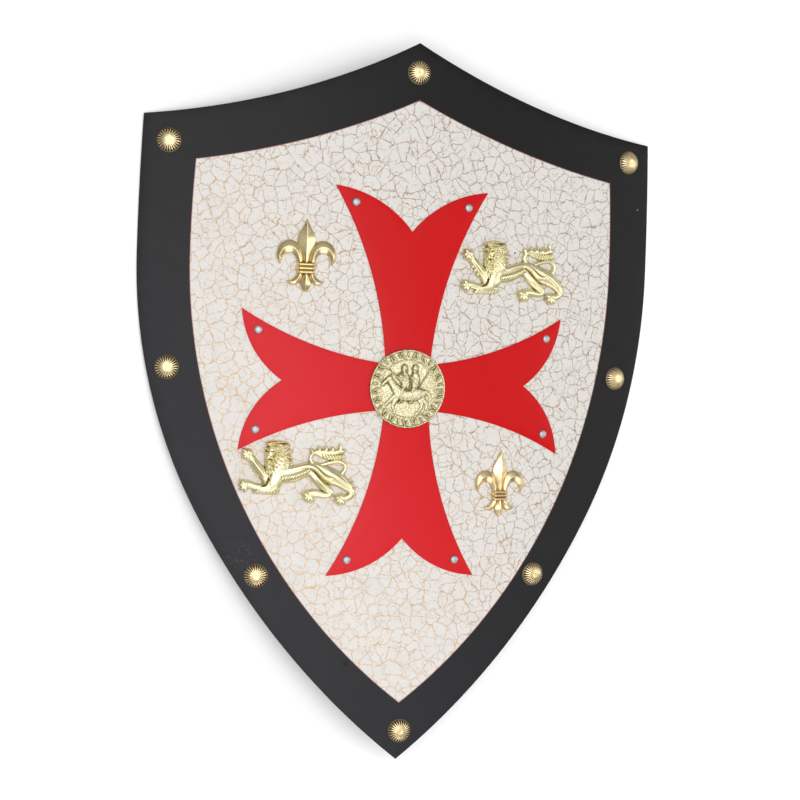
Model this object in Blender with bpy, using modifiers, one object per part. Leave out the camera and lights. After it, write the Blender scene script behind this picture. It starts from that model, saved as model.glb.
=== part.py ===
"""A curved sheet-steel heater shield with a riveted cross, fluted border studs and gilt castings.

It lies face up: +Z up, +Y towards the peak. The origin is at the bottom centre.
"""
import math

import bmesh
import bpy
import numpy as np
from mathutils import Matrix, Vector

# Board: heater outline seen square on, and the curve of its face
BOARD_HEIGHT = 0.720            # peak to tip
BOARD_HALF_WIDTH = 0.271        # at the shoulders, the widest place
CORNER_TUCK = 0.003             # how far the corners stand in from the widest place
CORNER_DROP = 0.0832            # peak down to the corners
TOP_EDGE_RADIUS = 0.716         # the two hollow top edges
SHOULDER_DROP = 0.220           # peak down to the widest place
SHOULDER_RADIUS = 0.540         # upper stretch of each side
KNEE_DROP = 0.480               # where the shoulder arc runs into the long arc to the tip
BOARD_THICKNESS = 0.0015
FACE_RADIUS = 1.000             # the sheet is bent like a part of a cylinder along Y
FACET_WIDTH = 0.036             # width of the flat strips that stand for the bend
SPARE_STRIP = 0.2               # least part of a strip left outside the outline

# Cross plate
CROSS_ACROSS = -0.0015          # the cross sits a little left of the middle
CROSS_DROP = 0.3395             # peak down to the middle between the cross's tips
CROSS_THICKNESS = 0.0010
WAIST_HALF_WIDTH = 0.0235       # where the arms meet, under the medallion
WAIST_DROP = 0.0041             # the arms meet a little below the middle of the tips
UP_TIP = (0.0800, 0.1948)       # half spread and reach of the upper arm's tips
DOWN_TIP = (0.0777, 0.1939)
SIDE_TIP = (0.0700, 0.1683)
UP_NOTCH = 0.1518               # middle to the notch between two tips
DOWN_NOTCH = 0.1559
SIDE_NOTCH = 0.1274
LONG_EDGE_HOLLOW = 0.0111       # depth of the hollow edges of the upright arms
SIDE_EDGE_HOLLOW = 0.0086
END_BULGE = 0.0092              # height of the round arm ends over a line from tip to notch

# Cross rivets, placed from the tips of the arms
RIVET_HEAD_RADIUS = 0.00425
RIVET_HEAD_HEIGHT = 0.0023
RIVET_SHANK_RADIUS = 0.0015
RIVET_TAIL_RADIUS = 0.0028
RIVET_TAIL_HEIGHT = 0.0012
LONG_RIVET_BACK = (0.0212, 0.0161)   # back from a tip of an upright arm: across, along
SIDE_RIVET_BACK = (0.0208, 0.0168)
RIVET_SIDES = 8

# Border studs
STUD_RADIUS = 0.0120
STUD_HEIGHT = 0.0060
STUD_EYE = 0.0033               # radius of the plain middle
STUD_FLUTES = 24
FLUTE_RING = 0.0098             # radius where the flutes are deepest
FLUTE_DEPTH = 0.0009
STUD_SHANK_RADIUS = 0.0020
STUD_SHANK_OVERLAP = 0.0015     # how far the shank runs up into the dome
STUD_TAIL_RADIUS = 0.0036
STUD_TAIL_HEIGHT = 0.0014
STUD_SHANK_SIDES = 8
PEAK_STUD_INSET = 0.0293
TIP_STUD_INSET = 0.0289
CORNER_STUD_INSET = (0.0242, 0.0224)
SIDE_STUD_INSET = 0.0207
SIDE_STUD_DROPS = (0.330, 0.534)
STUD_SLIPS = {                  # studs set a little off their even places: across, up
    "tip": (0.0028, 0.0),
    "corner_left": (0.0, -0.0030),
    "corner_right": (0.0, 0.0030),
    "middle_left": (-0.0015, 0.0),
    "middle_right": (-0.0015, 0.0),
    "lower_left": (-0.0015, 0.0),
    "lower_right": (-0.0015, 0.0),
}

# Gilt castings
CASTING_EDGE = 0.0012           # thickness of a casting at its outline
LION_LENGTH = 0.1170
LION_UPPER = (0.1087, 0.2243)            # across, down from the peak
LION_UPPER_TURN = 1.5                    # degrees
LION_LOWER = (-0.1107, 0.4312)
FLEUR_UPPER = (-0.1086, 0.2161)
FLEUR_LOWER = (0.1027, 0.4401)
FLEUR_UPPER_HEIGHT = 0.0724
FLEUR_LOWER_HEIGHT = 0.0670
MEDALLION_RADIUS = 0.0397
MEDALLION_DROP = 0.3445
LION_TRIANGLES = 390            # on the front of each casting
FLEUR_TRIANGLES = 180
MEDALLION_TRIANGLES = 560
CASTING_GRID = 0.0009           # spacing of the points that a casting is modelled on
CASTING_MARGIN = 0.04           # blank rim of that grid, as a share of the casting

# Fits
GAP = 0.0003                    # between pieces that touch
HOLE_CLEARANCE = 0.0003         # round each shank
DRILL_LENGTH = 0.030
WELD = 0.00001                  # points closer than this are one
SLOPE_STEP = 0.0003             # the outline's slope is measured over this height

PEAK = BOARD_HEIGHT / 2
CORNER_HALF_WIDTH = BOARD_HALF_WIDTH - CORNER_TUCK
BACK_RADIUS = FACE_RADIUS - BOARD_THICKNESS
CROSS_BACK_RADIUS = FACE_RADIUS + GAP
CROSS_FACE_RADIUS = CROSS_BACK_RADIUS + CROSS_THICKNESS
FACET_ANGLE = FACET_WIDTH / FACE_RADIUS


# Scene and small tools

def clear_scene():
    for item in list(bpy.data.objects):
        bpy.data.objects.remove(item, do_unlink=True)


def collection(name):
    made = bpy.data.collections.new(name)
    bpy.context.scene.collection.children.link(made)
    return made


def material(name, colour, roughness, metallic):
    made = bpy.data.materials.new(name)
    made.use_nodes = True
    shader = made.node_tree.nodes["Principled BSDF"]
    shader.inputs["Base Color"].default_value = (*colour, 1.0)
    shader.inputs["Roughness"].default_value = roughness
    shader.inputs["Metallic"].default_value = metallic
    return made


def add_object(name, data, group, finish=None):
    made = bpy.data.objects.new(name, data)
    group.objects.link(made)
    if finish:
        data.materials.append(finish)
    return made


def add_cutter(name, data, group):
    cutter = add_object(name, data, group)
    cutter.hide_render = True
    cutter.display_type = "WIRE"
    return cutter


def mesh_of(source):
    """The source's evaluated shape as a plain mesh, with its modifiers applied."""
    view = bpy.context.evaluated_depsgraph_get()
    view.update()
    return bpy.data.meshes.new_from_object(source.evaluated_get(view))


def mesh_from(name, shape):
    mesh = bpy.data.meshes.new(name)
    shape.to_mesh(mesh)
    shape.free()
    return mesh


def boolean(target, cutter, operation):
    cut = target.modifiers.new(operation.title(), "BOOLEAN")
    cut.operation = operation
    cut.object = cutter


# Places on the curved face

def ridge_height():
    """Height of the face's highest line when the board's long sides rest on z = 0."""
    step = int(math.asin(BOARD_HALF_WIDTH / BACK_RADIUS) / FACET_ANGLE - 0.5) + 0.5
    inner = BACK_RADIUS * np.array([math.sin(step * FACET_ANGLE), math.cos(step * FACET_ANGLE)])
    outer = BACK_RADIUS * np.array([math.sin((step + 1) * FACET_ANGLE), math.cos((step + 1) * FACET_ANGLE)])
    share = (BOARD_HALF_WIDTH - inner[0]) / (outer[0] - inner[0])
    return FACE_RADIUS - (inner[1] + share * (outer[1] - inner[1]))


AXIS_HEIGHT = ridge_height() - FACE_RADIUS     # of the line that the face bends round


def place_on_face(across, up, radius):
    """Matrix that stands +Z out of the bent surface of this radius."""
    lean = math.asin(across / FACE_RADIUS)
    spot = Vector((radius * math.sin(lean), up, AXIS_HEIGHT + radius * math.cos(lean)))
    return Matrix.Translation(spot) @ Matrix.Rotation(lean, 4, "Y")


# Outlines

def arc(start, end, bulge, steps=7):
    """Points from start up to, but not including, end. The arc bulges to the left of its way."""
    start, end = np.array(start, float), np.array(end, float)
    chord = end - start
    length = np.hypot(*chord)
    along = chord / length
    left = np.array([-along[1], along[0]])
    if abs(bulge) < 1e-9:
        return [tuple(start)]
    radius = length**2 / (8 * bulge) + bulge / 2
    centre = start + chord / 2 + left * (bulge - radius)
    half = math.asin(length / 2 / radius)
    turns = np.linspace(-half, half, steps, endpoint=False)
    return [tuple(centre + radius * (along * math.sin(turn) + left * math.cos(turn))) for turn in turns]


def bulge_of(start, end, radius):
    half = math.hypot(end[0] - start[0], end[1] - start[1]) / 2
    return radius - math.sqrt(radius**2 - half**2)


def mirrored(right_half):
    """A closed outline from its right half, which runs from the top to the bottom middle."""
    return right_half + [(-x, y) for x, y in reversed(right_half[1:-1])]


def board_outline():
    peak = np.array([0.0, PEAK])
    corner = np.array([CORNER_HALF_WIDTH, PEAK - CORNER_DROP])
    shoulder = np.array([BOARD_HALF_WIDTH, PEAK - SHOULDER_DROP])
    turn = math.asin((KNEE_DROP - SHOULDER_DROP) / SHOULDER_RADIUS)
    inward = np.array([-math.cos(turn), math.sin(turn)])
    knee = shoulder - [SHOULDER_RADIUS, 0] - SHOULDER_RADIUS * inward
    tip = np.array([0.0, -PEAK])
    rise, fall = corner - shoulder, tip - knee
    flank_radius = rise @ rise / (2 * CORNER_TUCK)
    tip_radius = fall @ fall / (2 * inward @ fall)
    right = arc(peak, corner, -bulge_of(peak, corner, TOP_EDGE_RADIUS), 9)
    right += arc(corner, shoulder, bulge_of(corner, shoulder, flank_radius), 3)
    right += arc(shoulder, knee, bulge_of(shoulder, knee, SHOULDER_RADIUS), 9)
    right += arc(knee, tip, bulge_of(knee, tip, tip_radius), 7)
    return mirrored(right + [tuple(tip)])


def cross_outline():
    middle = PEAK - CROSS_DROP
    waist_up = (WAIST_HALF_WIDTH, middle - WAIST_DROP + WAIST_HALF_WIDTH)
    waist_down = (WAIST_HALF_WIDTH, middle - WAIST_DROP - WAIST_HALF_WIDTH)
    up_tip = (UP_TIP[0], middle + UP_TIP[1])
    side_up = (SIDE_TIP[1], middle + SIDE_TIP[0])
    side_down = (SIDE_TIP[1], middle - SIDE_TIP[0])
    down_tip = (DOWN_TIP[0], middle - DOWN_TIP[1])
    side_notch = (SIDE_NOTCH, middle)
    down_notch = (0.0, middle - DOWN_NOTCH)
    right = arc((0.0, middle + UP_NOTCH), up_tip, END_BULGE, 6)
    right += arc(up_tip, waist_up, -LONG_EDGE_HOLLOW)
    right += arc(waist_up, side_up, -SIDE_EDGE_HOLLOW)
    right += arc(side_up, side_notch, END_BULGE, 6)
    right += arc(side_notch, side_down, END_BULGE, 6)
    right += arc(side_down, waist_down, -SIDE_EDGE_HOLLOW)
    right += arc(waist_down, down_tip, -LONG_EDGE_HOLLOW)
    right += arc(down_tip, down_notch, END_BULGE, 6)
    return [(CROSS_ACROSS + x, y) for x, y in mirrored(right + [down_notch])]


def half_width_at(outline, up):
    """Distance from the middle line to the outline's right side at this height."""
    reach = 0.0
    for (x0, y0), (x1, y1) in zip(outline, outline[1:] + outline[:1]):
        if x0 >= 0 and x1 >= 0 and min(y0, y1) <= up <= max(y0, y1) and y0 != y1:
            reach = max(reach, x0 + (x1 - x0) * (up - y0) / (y1 - y0))
    return reach


# Sheets

def outline_prism(name, outline, group):
    """A tall block of this outline, from a filled curve, to cut a bent sheet to shape."""
    curve = bpy.data.curves.new(name, "CURVE")
    curve.dimensions = "2D"
    curve.fill_mode = "BOTH"
    curve.extrude = FACE_RADIUS
    spline = curve.splines.new("POLY")
    spline.points.add(len(outline) - 1)
    for point, (x, y) in zip(spline.points, outline):
        point.co = (x, y, 0.0, 1.0)
    spline.use_cyclic_u = True
    drawn = bpy.data.objects.new(name, curve)
    group.objects.link(drawn)
    shape = bmesh.new()
    shape.from_mesh(mesh_of(drawn))
    bmesh.ops.remove_doubles(shape, verts=shape.verts, dist=WELD)
    bmesh.ops.recalc_face_normals(shape, faces=shape.faces)
    bpy.data.objects.remove(drawn, do_unlink=True)
    return add_cutter(name, mesh_from(name, shape), group)


def bent_sheet(name, inner_radius, thickness, group, finish):
    """Flat strips in a row round the bend's axis, as an open surface with a thickness."""
    reach = math.asin(BOARD_HALF_WIDTH / BACK_RADIUS) / FACET_ANGLE
    strips = 2 * math.ceil(reach - 0.5 + SPARE_STRIP) + 1
    shape = bmesh.new()
    bmesh.ops.create_grid(shape, x_segments=strips, y_segments=1, size=1.0)
    for vert in shape.verts:
        angle = vert.co.x * strips / 2 * FACET_ANGLE
        height = AXIS_HEIGHT + inner_radius * math.cos(angle)
        vert.co = (inner_radius * math.sin(angle), vert.co.y * BOARD_HEIGHT, height)
    sheet = add_object(name, mesh_from(name, shape), group, finish)
    solid = sheet.modifiers.new("Thickness", "SOLIDIFY")
    solid.thickness = thickness
    solid.offset = 1.0
    return sheet


def hole_cutter(name, places, radius, sides, group):
    """Round drills that stand square on the face at each place."""
    shape = bmesh.new()
    for across, up in places:
        spot = place_on_face(across, up, FACE_RADIUS)
        bmesh.ops.create_cone(shape, cap_ends=True, segments=sides, radius1=radius, radius2=radius,
                              depth=DRILL_LENGTH, matrix=spot)
    return add_cutter(name, mesh_from(name, shape), group)


# Fasteners

def turned(name, profile, sides, group):
    """A solid turned from a profile of (radius, height) that runs down its outer side."""
    mesh = bpy.data.meshes.new(name)
    points = [(radius, 0.0, height) for radius, height in profile]
    mesh.from_pydata(points, [(i, i + 1) for i in range(len(points) - 1)], [])
    made = add_object(name, mesh, group)
    screw = made.modifiers.new("Turn", "SCREW")
    screw.steps = sides
    screw.render_steps = sides
    screw.use_merge_vertices = True
    screw.merge_threshold = WELD
    return made


def shank_profile(shank_radius, tail_radius, tail_height, depth, start):
    """From the underside of a head, down through the sheet to the hammered tail."""
    back = -depth - GAP
    return [(shank_radius, start), (shank_radius, back), (tail_radius, back),
            (tail_radius * 0.8, back - tail_height), (0.0, back - tail_height)]


def rivet_mesh(group):
    dome = [(RIVET_HEAD_RADIUS * math.sin(turn), GAP + RIVET_HEAD_HEIGHT * math.cos(turn))
            for turn in (0.0, 0.8, math.pi / 2)]
    grip = GAP + CROSS_THICKNESS + BOARD_THICKNESS
    tail = shank_profile(RIVET_SHANK_RADIUS, RIVET_TAIL_RADIUS, RIVET_TAIL_HEIGHT, grip, GAP)
    pattern = turned("rivet pattern", dome + tail, RIVET_SIDES, group)
    mesh = mesh_of(pattern)
    bpy.data.objects.remove(pattern, do_unlink=True)
    return mesh


def stud_dome(radius):
    """Height of the stud's round face before its flutes."""
    return GAP + STUD_HEIGHT * math.sqrt(1 - (radius / STUD_RADIUS)**2)


def stud_mesh(group):
    """A fluted dome joined to its shank."""
    rings = (0.0, STUD_EYE, FLUTE_RING, STUD_RADIUS)
    profile = [(ring, stud_dome(ring)) for ring in rings] + [(0.0, GAP)]
    head = turned("stud head", profile, 2 * STUD_FLUTES, group)
    shape = bmesh.new()
    shape.from_mesh(mesh_of(head))
    for vert in shape.verts:
        if abs(vert.co.xy.length - FLUTE_RING) < WELD:
            wave = 0.5 + 0.5 * math.cos(STUD_FLUTES * math.atan2(vert.co.y, vert.co.x))
            vert.co.z -= FLUTE_DEPTH * wave
    under = [face for face in shape.faces if face.calc_center_median().z < GAP + WELD]
    bmesh.ops.dissolve_faces(shape, faces=under)
    fluted = add_object("fluted head", mesh_from("fluted head", shape), group)
    profile = [(0.0, STUD_SHANK_OVERLAP)]
    profile += shank_profile(STUD_SHANK_RADIUS, STUD_TAIL_RADIUS, STUD_TAIL_HEIGHT, BOARD_THICKNESS,
                             STUD_SHANK_OVERLAP)
    shank = turned("stud shank", profile, STUD_SHANK_SIDES, group)
    boolean(fluted, shank, "UNION")
    mesh = mesh_of(fluted)
    for used in (head, fluted, shank):
        bpy.data.objects.remove(used, do_unlink=True)
    return mesh


def cross_rivet_places():
    middle = PEAK - CROSS_DROP
    places = {}
    for side, hand in ((-1, "left"), (1, "right")):
        across, along = LONG_RIVET_BACK
        places[f"top_{hand}"] = (side * (UP_TIP[0] - across), middle + UP_TIP[1] - along)
        places[f"bottom_{hand}"] = (side * (DOWN_TIP[0] - across), middle - DOWN_TIP[1] + along)
        across, along = SIDE_RIVET_BACK
        places[f"{hand}_upper"] = (side * (SIDE_TIP[1] - along), middle + SIDE_TIP[0] - across)
        places[f"{hand}_lower"] = (side * (SIDE_TIP[1] - along), middle - SIDE_TIP[0] + across)
    return {name: (CROSS_ACROSS + across, up) for name, (across, up) in places.items()}


def border_stud_places(outline):
    places = {"peak": (0.0, PEAK - PEAK_STUD_INSET), "tip": (0.0, -PEAK + TIP_STUD_INSET)}
    for side, hand in ((-1, "left"), (1, "right")):
        across, down = CORNER_STUD_INSET
        corner = (side * (CORNER_HALF_WIDTH - across), PEAK - CORNER_DROP - down)
        places[f"corner_{hand}"] = corner
        for level, drop in zip(("middle", "lower"), SIDE_STUD_DROPS):
            up = PEAK - drop
            reach = half_width_at(outline, up)
            rise = half_width_at(outline, up + SLOPE_STEP) - half_width_at(outline, up - SLOPE_STEP)
            inset = SIDE_STUD_INSET * math.hypot(1, rise / (2 * SLOPE_STEP))
            places[f"{level}_{hand}"] = (side * (reach - inset), up)
    for name, (across, up) in STUD_SLIPS.items():
        places[name] = (places[name][0] + across, places[name][1] + up)
    return places


# Relief: a height over a drawing plane, built up from tapered strokes
# A stroke's knots are (x, y, radius, height). A keel of 0 is round across, and 1 is a sharp ridge.

def stroke_curve(knots, per_span=6):
    """A smooth curve through the knots."""
    knots = np.array(knots, float)
    ends = np.vstack([2 * knots[0] - knots[1], knots, 2 * knots[-1] - knots[-2]])
    t = np.linspace(0, 1, per_span, endpoint=False)[:, None]
    spans = []
    for a, b, c, d in zip(ends, ends[1:], ends[2:], ends[3:]):
        way = (c - a) * t + (2 * a - 5 * b + 4 * c - d) * t**2 + (3 * b - a - 3 * c + d) * t**3
        spans.append(b + 0.5 * way)
    return np.vstack(spans + [knots[-1:]])


class Relief:
    """The height at each point, and how far the point lies inside the outline."""

    def __init__(self, points):
        self.points = points
        self.inside = np.full(len(points), -1.0)
        self.height = np.zeros(len(points))

    def measure(self, knots, keel):
        curve = stroke_curve(knots)
        reach = curve[:, 2].max() * 1.05
        low = curve[:, :2].min(0) - reach
        high = curve[:, :2].max(0) + reach
        near = np.nonzero(((self.points > low) & (self.points < high)).all(1))[0]
        points = self.points[near]
        inside = np.full(len(points), -1.0)
        height = np.zeros(len(points))
        for start, end in zip(curve, curve[1:]):
            way = end[:2] - start[:2]
            share = np.clip((points - start[:2]) @ way / max(way @ way, 1e-12), 0, 1)[:, None]
            spot = start + share * (end - start)
            radius = np.maximum(spot[:, 2], 1e-4)
            away = np.hypot(*(points - spot[:, :2]).T)
            across = np.minimum(away / radius, 1)
            rise = (1 - keel) * np.sqrt(1 - across**2) + keel * (1 - across)
            inside = np.maximum(inside, radius - away)
            height = np.maximum(height, spot[:, 3] * rise)
        return near, inside, height

    def add(self, knots, keel=0.0):
        near, inside, height = self.measure(knots, keel)
        self.inside[near] = np.maximum(self.inside[near], inside)
        self.height[near] = np.maximum(self.height[near], height)

    def raise_on(self, knots, keel=0.0):
        near, _, height = self.measure(knots, keel)
        self.height[near] += height

    def cut(self, knots, keel=0.5):
        near, _, height = self.measure(knots, keel)
        self.height[near] = np.maximum(self.height[near] - height, 0)

    def lock(self, x, y, aim, length, bend, radius=1.5, height=4.8, end=2.4):
        """A lock of hair that starts thick, turns by bend degrees and runs out thin."""
        knots = []
        for share in np.linspace(0, 1, 5):
            knots.append((x, y, radius * (1 - share)**0.6 + 0.45, height + (end - height) * share))
            turn = math.radians(aim + bend * share)
            x += length / 4 * math.cos(turn)
            y += length / 4 * math.sin(turn)
        self.add(knots, 0.35)


# Lion, walking to the left, on a grid of 100 units to its length

LION_BODY = (
    [(66, 31, 4.6, 4), (71, 28.6, 6, 4.6), (78, 24.8, 6.9, 5.6), (84.4, 22.2, 6.7, 5.4),
     (89.8, 18.4, 5.3, 5), (94, 14.6, 4.2, 4.4), (96.4, 11, 3.4, 4), (95.8, 7.6, 3, 3.6),
     (91.5, 5.6, 3.2, 3.8), (88.5, 5.2, 3.6, 4)],
    [(37, 24.6, 7.2, 5), (45, 25.4, 7.2, 5), (52, 27.8, 6.6, 4.8), (58, 30.2, 6, 4.8), (64, 30.8, 5.8, 5),
     (70, 28.5, 6.2, 5.2), (76, 25, 6.6, 5.4)],
    [(61.5, 27.5, 3.8, 3.4), (65.3, 23.2, 4.5, 4.8), (70, 18.2, 4.3, 5.2), (75, 13.8, 3.8, 4.8),
     (78.3, 10.8, 3.1, 4.2), (77, 8.3, 2.7, 3.8), (72, 8.4, 2.9, 3.8), (66, 9.6, 3.5, 4.2),
     (62, 9.2, 4, 4.4)],
    [(25.5, 18.5, 5.4, 4.8), (21, 25, 4.6, 4.8), (16, 31, 4, 4.4), (12, 36, 3.6, 4.2), (9, 39.6, 3.7, 4.4)],
    [(28, 14.8, 5.4, 5), (21.5, 13.2, 4.1, 4.6), (15.5, 14, 3.4, 4.2), (9.5, 15.8, 3.4, 4.2)],
    [(33.5, 25, 7, 5.4), (30.8, 19.6, 7, 6.3), (29, 16, 5.4, 5.6)],
    [(32, 46, 6.4, 4.4), (34.6, 40, 8.2, 4.6), (34.4, 32, 8.6, 4.8), (32, 26.5, 7, 4.8)],
    [(26, 38, 4.6, 4.4), (26, 32, 4.4, 4.2), (27.5, 27, 4.2, 4.4)],
)
LION_TAIL = (
    [(87, 25.5, 2.6, 3.4), (90.4, 30, 1.8, 3), (89.6, 34.8, 1.7, 3), (84.5, 37, 1.7, 3), (77, 35.8, 1.7, 3),
     (70, 34.1, 1.7, 3), (63.8, 34.7, 1.8, 3.2), (60.3, 38.2, 1.8, 3.2), (61.6, 42.4, 1.8, 3.2),
     (66, 44.8, 2, 3.4), (73, 44.4, 2.5, 3.6), (80, 44.4, 2.7, 3.6), (86.5, 45.8, 2.3, 3.4)],
    [(66, 43.4, 1.6, 3), (70, 42.2, 2.3, 3.2), (75, 41, 2.8, 3.5), (81, 40.4, 2.9, 3.6),
     (86.5, 40.8, 2.5, 3.4), (90, 41, 1.4, 2.4)],
)
LION_PAWS = ((7.4, 42.2, 205, 1.3), (6, 15.6, 200, 1.3), (60.5, 8, 232, 1.4), (87.6, 5.4, 232, 1.3))
TOE = ((0.8, 1.3, 5.6), (2.6, 1.7, 6), (3.9, 1.1, 4.4), (4.5, 0.6, 2.4))   # way out, radius, height
LION_SIZE = (100.0, 54.0)
LION_RELIEF = 0.75              # depth of the carving, as a share of the tables


def lion_paw(relief, x, y, aim, size):
    """A round palm with four fat toes and short claws, spread about the way the foot points."""
    relief.add([(x, y, 3.5 * size, 4.8), (x + 0.1, y, 3.5 * size, 4.8)])
    for toe in range(4):
        turn = math.radians(aim + 44 * (toe - 1.5))
        across, up = size * math.cos(turn), size * math.sin(turn)
        relief.add([(x + out * across, y + out * up, wide * size, high) for out, wide, high in TOE])


def lion_mane(relief):
    """Locks in rings round the face, the outermost first, so that they overlap like tiles."""
    for ring in reversed(range(4)):
        count = 7 + 2 * ring
        for k in range(count):
            turn = math.radians(50 - 160 * (k + 0.25 * (ring % 2)) / (count - 1))
            reach = 4.6 + 4.2 * ring if turn < 0 else 4.8 + 0.7 * ring
            x = 27.6 + (4.4 + 2.5 * ring) * math.cos(turn)
            y = 43 + reach * math.sin(turn)
            bend = 34 if k % 2 else -26
            relief.lock(x, y, 0.8 * math.degrees(turn) - 8, 6.4, bend, 1.95, 6.4 - 0.25 * ring, 3.6)
    for k in range(4):
        relief.lock(24 + 1.5 * k, 51.2 - 1.4 * k, 12 - 7 * k, 18 - 0.8 * k, -26 + 6 * k, 1.6, 6.2, 3)


def lion_face(relief):
    """A broad face turned half to the viewer, with a heavy muzzle."""
    relief.add([(27.4, 45, 5.2, 6.8), (26, 41.6, 4.4, 7.2)])
    relief.add([(25, 40, 3.3, 8.2), (24.4, 38.6, 2.9, 7.6)])
    relief.add([(26.2, 47.4, 1.8, 7.4), (25.2, 43.8, 1.6, 8.4), (24, 41.6, 1.7, 9)], 0.3)
    relief.add([(23.4, 46.4, 0.8, 7), (22.6, 47.2, 1, 7.2), (21.6, 45.6, 0.7, 6.4)])
    relief.add([(27.4, 46.8, 0.8, 7.4), (29.6, 47.6, 1.1, 7.8), (31.6, 45.8, 0.8, 6.8)])
    relief.add([(23.2, 39.8, 1.7, 8.6), (23, 39, 1.6, 8.2)])
    relief.add([(26.8, 39.8, 1.9, 8.6), (27.4, 39.2, 1.8, 8.2)])
    relief.cut([(22.4, 44.6, 0.6, 1.6), (23.6, 44.6, 0.6, 1.8)], 0.2)
    relief.cut([(27.2, 44.6, 0.8, 2), (29.4, 44.8, 0.6, 1.6)], 0.2)
    relief.cut([(21.8, 37.6, 0.4, 1), (24.6, 38, 0.8, 2.4), (28, 37.4, 0.4, 1)], 0.3)


def lion(points):
    relief = Relief(points)
    for stroke in LION_TAIL + LION_BODY:
        relief.add(stroke)
    for rib in range(10):
        x, y = 36 + 2.35 * rib, 19 + 0.25 * rib + 0.055 * rib**2
        relief.raise_on([(x, y, 0.8, 0.6), (x + 0.9, y + 2.6, 1.15, 2.4), (x + 2.5, y + 6, 0.8, 0.3)])
    relief.raise_on([(43, 29.5, 1.4, 0.4), (50, 31.6, 1.9, 1.4), (58, 33.2, 2, 1.8), (63.5, 31.6, 2.1, 2),
                     (68, 27, 2.2, 2), (72.5, 23, 2, 1.6), (78, 21.2, 1.5, 0.4)], 0.3)
    relief.cut([(60, 30.5, 0.6, 0.6), (64.5, 27.6, 0.9, 2), (69, 22.6, 0.9, 2), (73.5, 18.8, 0.9, 1.8),
                (79, 15.6, 0.6, 0.6)])
    relief.cut([(66, 32.6, 0.5, 0.6), (71, 27.6, 0.8, 1.8), (76, 24.2, 0.8, 1.4), (81, 23, 0.5, 0.4)])
    relief.raise_on([(76, 28, 2, 0.4), (82, 24.4, 2.6, 1.6), (88.5, 19.6, 2, 1.2),
                     (93.5, 15, 1.4, 0.4)], 0.2)
    relief.raise_on([(66.5, 22.5, 1.4, 0.4), (71, 17.8, 1.8, 1.4), (76.5, 12.8, 1.2, 0.4)], 0.3)
    relief.raise_on([(21.5, 23.8, 1.3, 0.4), (16.4, 30.6, 1.5, 1.4), (11.6, 36.6, 1.1, 0.4)], 0.3)
    relief.cut([(27.5, 27, 0.5, 1.5), (25.4, 21.5, 1.1, 4.6), (23, 16.2, 1, 4), (19, 14.4, 0.5, 1)], 0.3)
    for tuft in range(8):
        relief.lock(16.5 + 2.4 * tuft, 12 + 0.1 * tuft, 232 + 5 * tuft, 5, -34, 2.2, 4.6, 1.8)
    for x, y, aim in ((13.4, 33.4, 215), (15.4, 30, 215), (17.8, 26.8, 220)):
        relief.lock(x, y, aim, 4.6, 30, 2, 4, 1.6)
    for x, y, aim in ((95, 17.4, 30), (97, 13.6, 5), (97, 9, -12)):
        relief.lock(x, y, aim, 4, 24, 1.9, 4, 1.6)
    for x, y, aim in ((62.4, 43.6, 100), (67, 45.4, 60), (72.4, 45.6, 50), (77.8, 45.4, 46)):
        relief.lock(x, y, aim, 4.6, 70, 2.4, 4, 2)
    relief.lock(84, 45.6, 46, 7.6, 100, 2.3, 4, 2)
    relief.lock(88, 46, 4, 3.4, 40, 1.8, 3.4, 1.8)
    for twist in range(8):
        x = 70 + 2.5 * twist
        relief.cut([(x, 43, 0.4, 0.6), (x + 1.4, 40.6, 0.6, 1.7), (x + 2.4, 38.2, 0.4, 0.6)], 0.3)
    for paw in LION_PAWS:
        lion_paw(relief, *paw)
    lion_mane(relief)
    lion_face(relief)
    relief.height *= LION_RELIEF
    return relief


# Fleur-de-lis, on a grid of 100 units to its height, standing on y = 0

FLEUR_TOP = [(0, 99.2, 0.8, 2.5), (0, 92, 4, 5.5), (0, 80.5, 9, 9), (0, 71, 12.8, 11), (0, 61, 10, 10),
             (0, 50, 6.3, 8), (0, 40, 5, 7)]
FLEUR_SIDE = [(7.5, 36, 4.4, 6.5), (9.6, 47, 5.4, 7.5), (14.2, 57, 7.4, 8.5), (22.5, 61.8, 9.2, 9.5),
              (31, 58.8, 7.8, 9), (36.2, 50.5, 5.2, 7.5), (36.6, 43, 3, 5), (35.2, 37.8, 0.8, 2.5)]
FLEUR_FOOT = [(6.5, 30, 4.6, 7), (9.6, 20, 4.9, 7), (14.5, 14.6, 4.9, 6.4), (20.5, 13.2, 3, 4.5),
              (25.5, 14.6, 0.8, 2.2)]
FLEUR_BOTTOM = [(0, 30, 4, 7.5), (0, 20, 5.6, 8.4), (0, 12.6, 8, 9), (0, 6, 5, 6.5), (0, 0.8, 0.8, 2.5)]
FLEUR_BAND_RINGS = (38.0, 32.6, 27.2)
FLEUR_SIZE = (84.0, 100.0)
FLEUR_RELIEF = 0.62


def fleur(points):
    relief = Relief(points)
    for side in (-1, 1):
        relief.add(np.array(FLEUR_SIDE) * [side, 1, 1, 1], 0.75)
        relief.add(np.array(FLEUR_FOOT) * [side, 1, 1, 1], 0.7)
    relief.add(FLEUR_TOP, 0.95)
    relief.add(FLEUR_BOTTOM, 0.9)
    relief.add([(-6.5, 33, 7.6, 8), (6.5, 33, 7.6, 8)], 0.2)
    for y in FLEUR_BAND_RINGS:
        relief.add([(-10, y, 2.8, 9.5), (-7.6, y, 3, 11.5), (7.6, y, 3, 11.5), (10, y, 2.8, 9.5)], 0.1)
    relief.height *= FLEUR_RELIEF
    return relief


# Medallion, on a grid of 100 units to its radius

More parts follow.
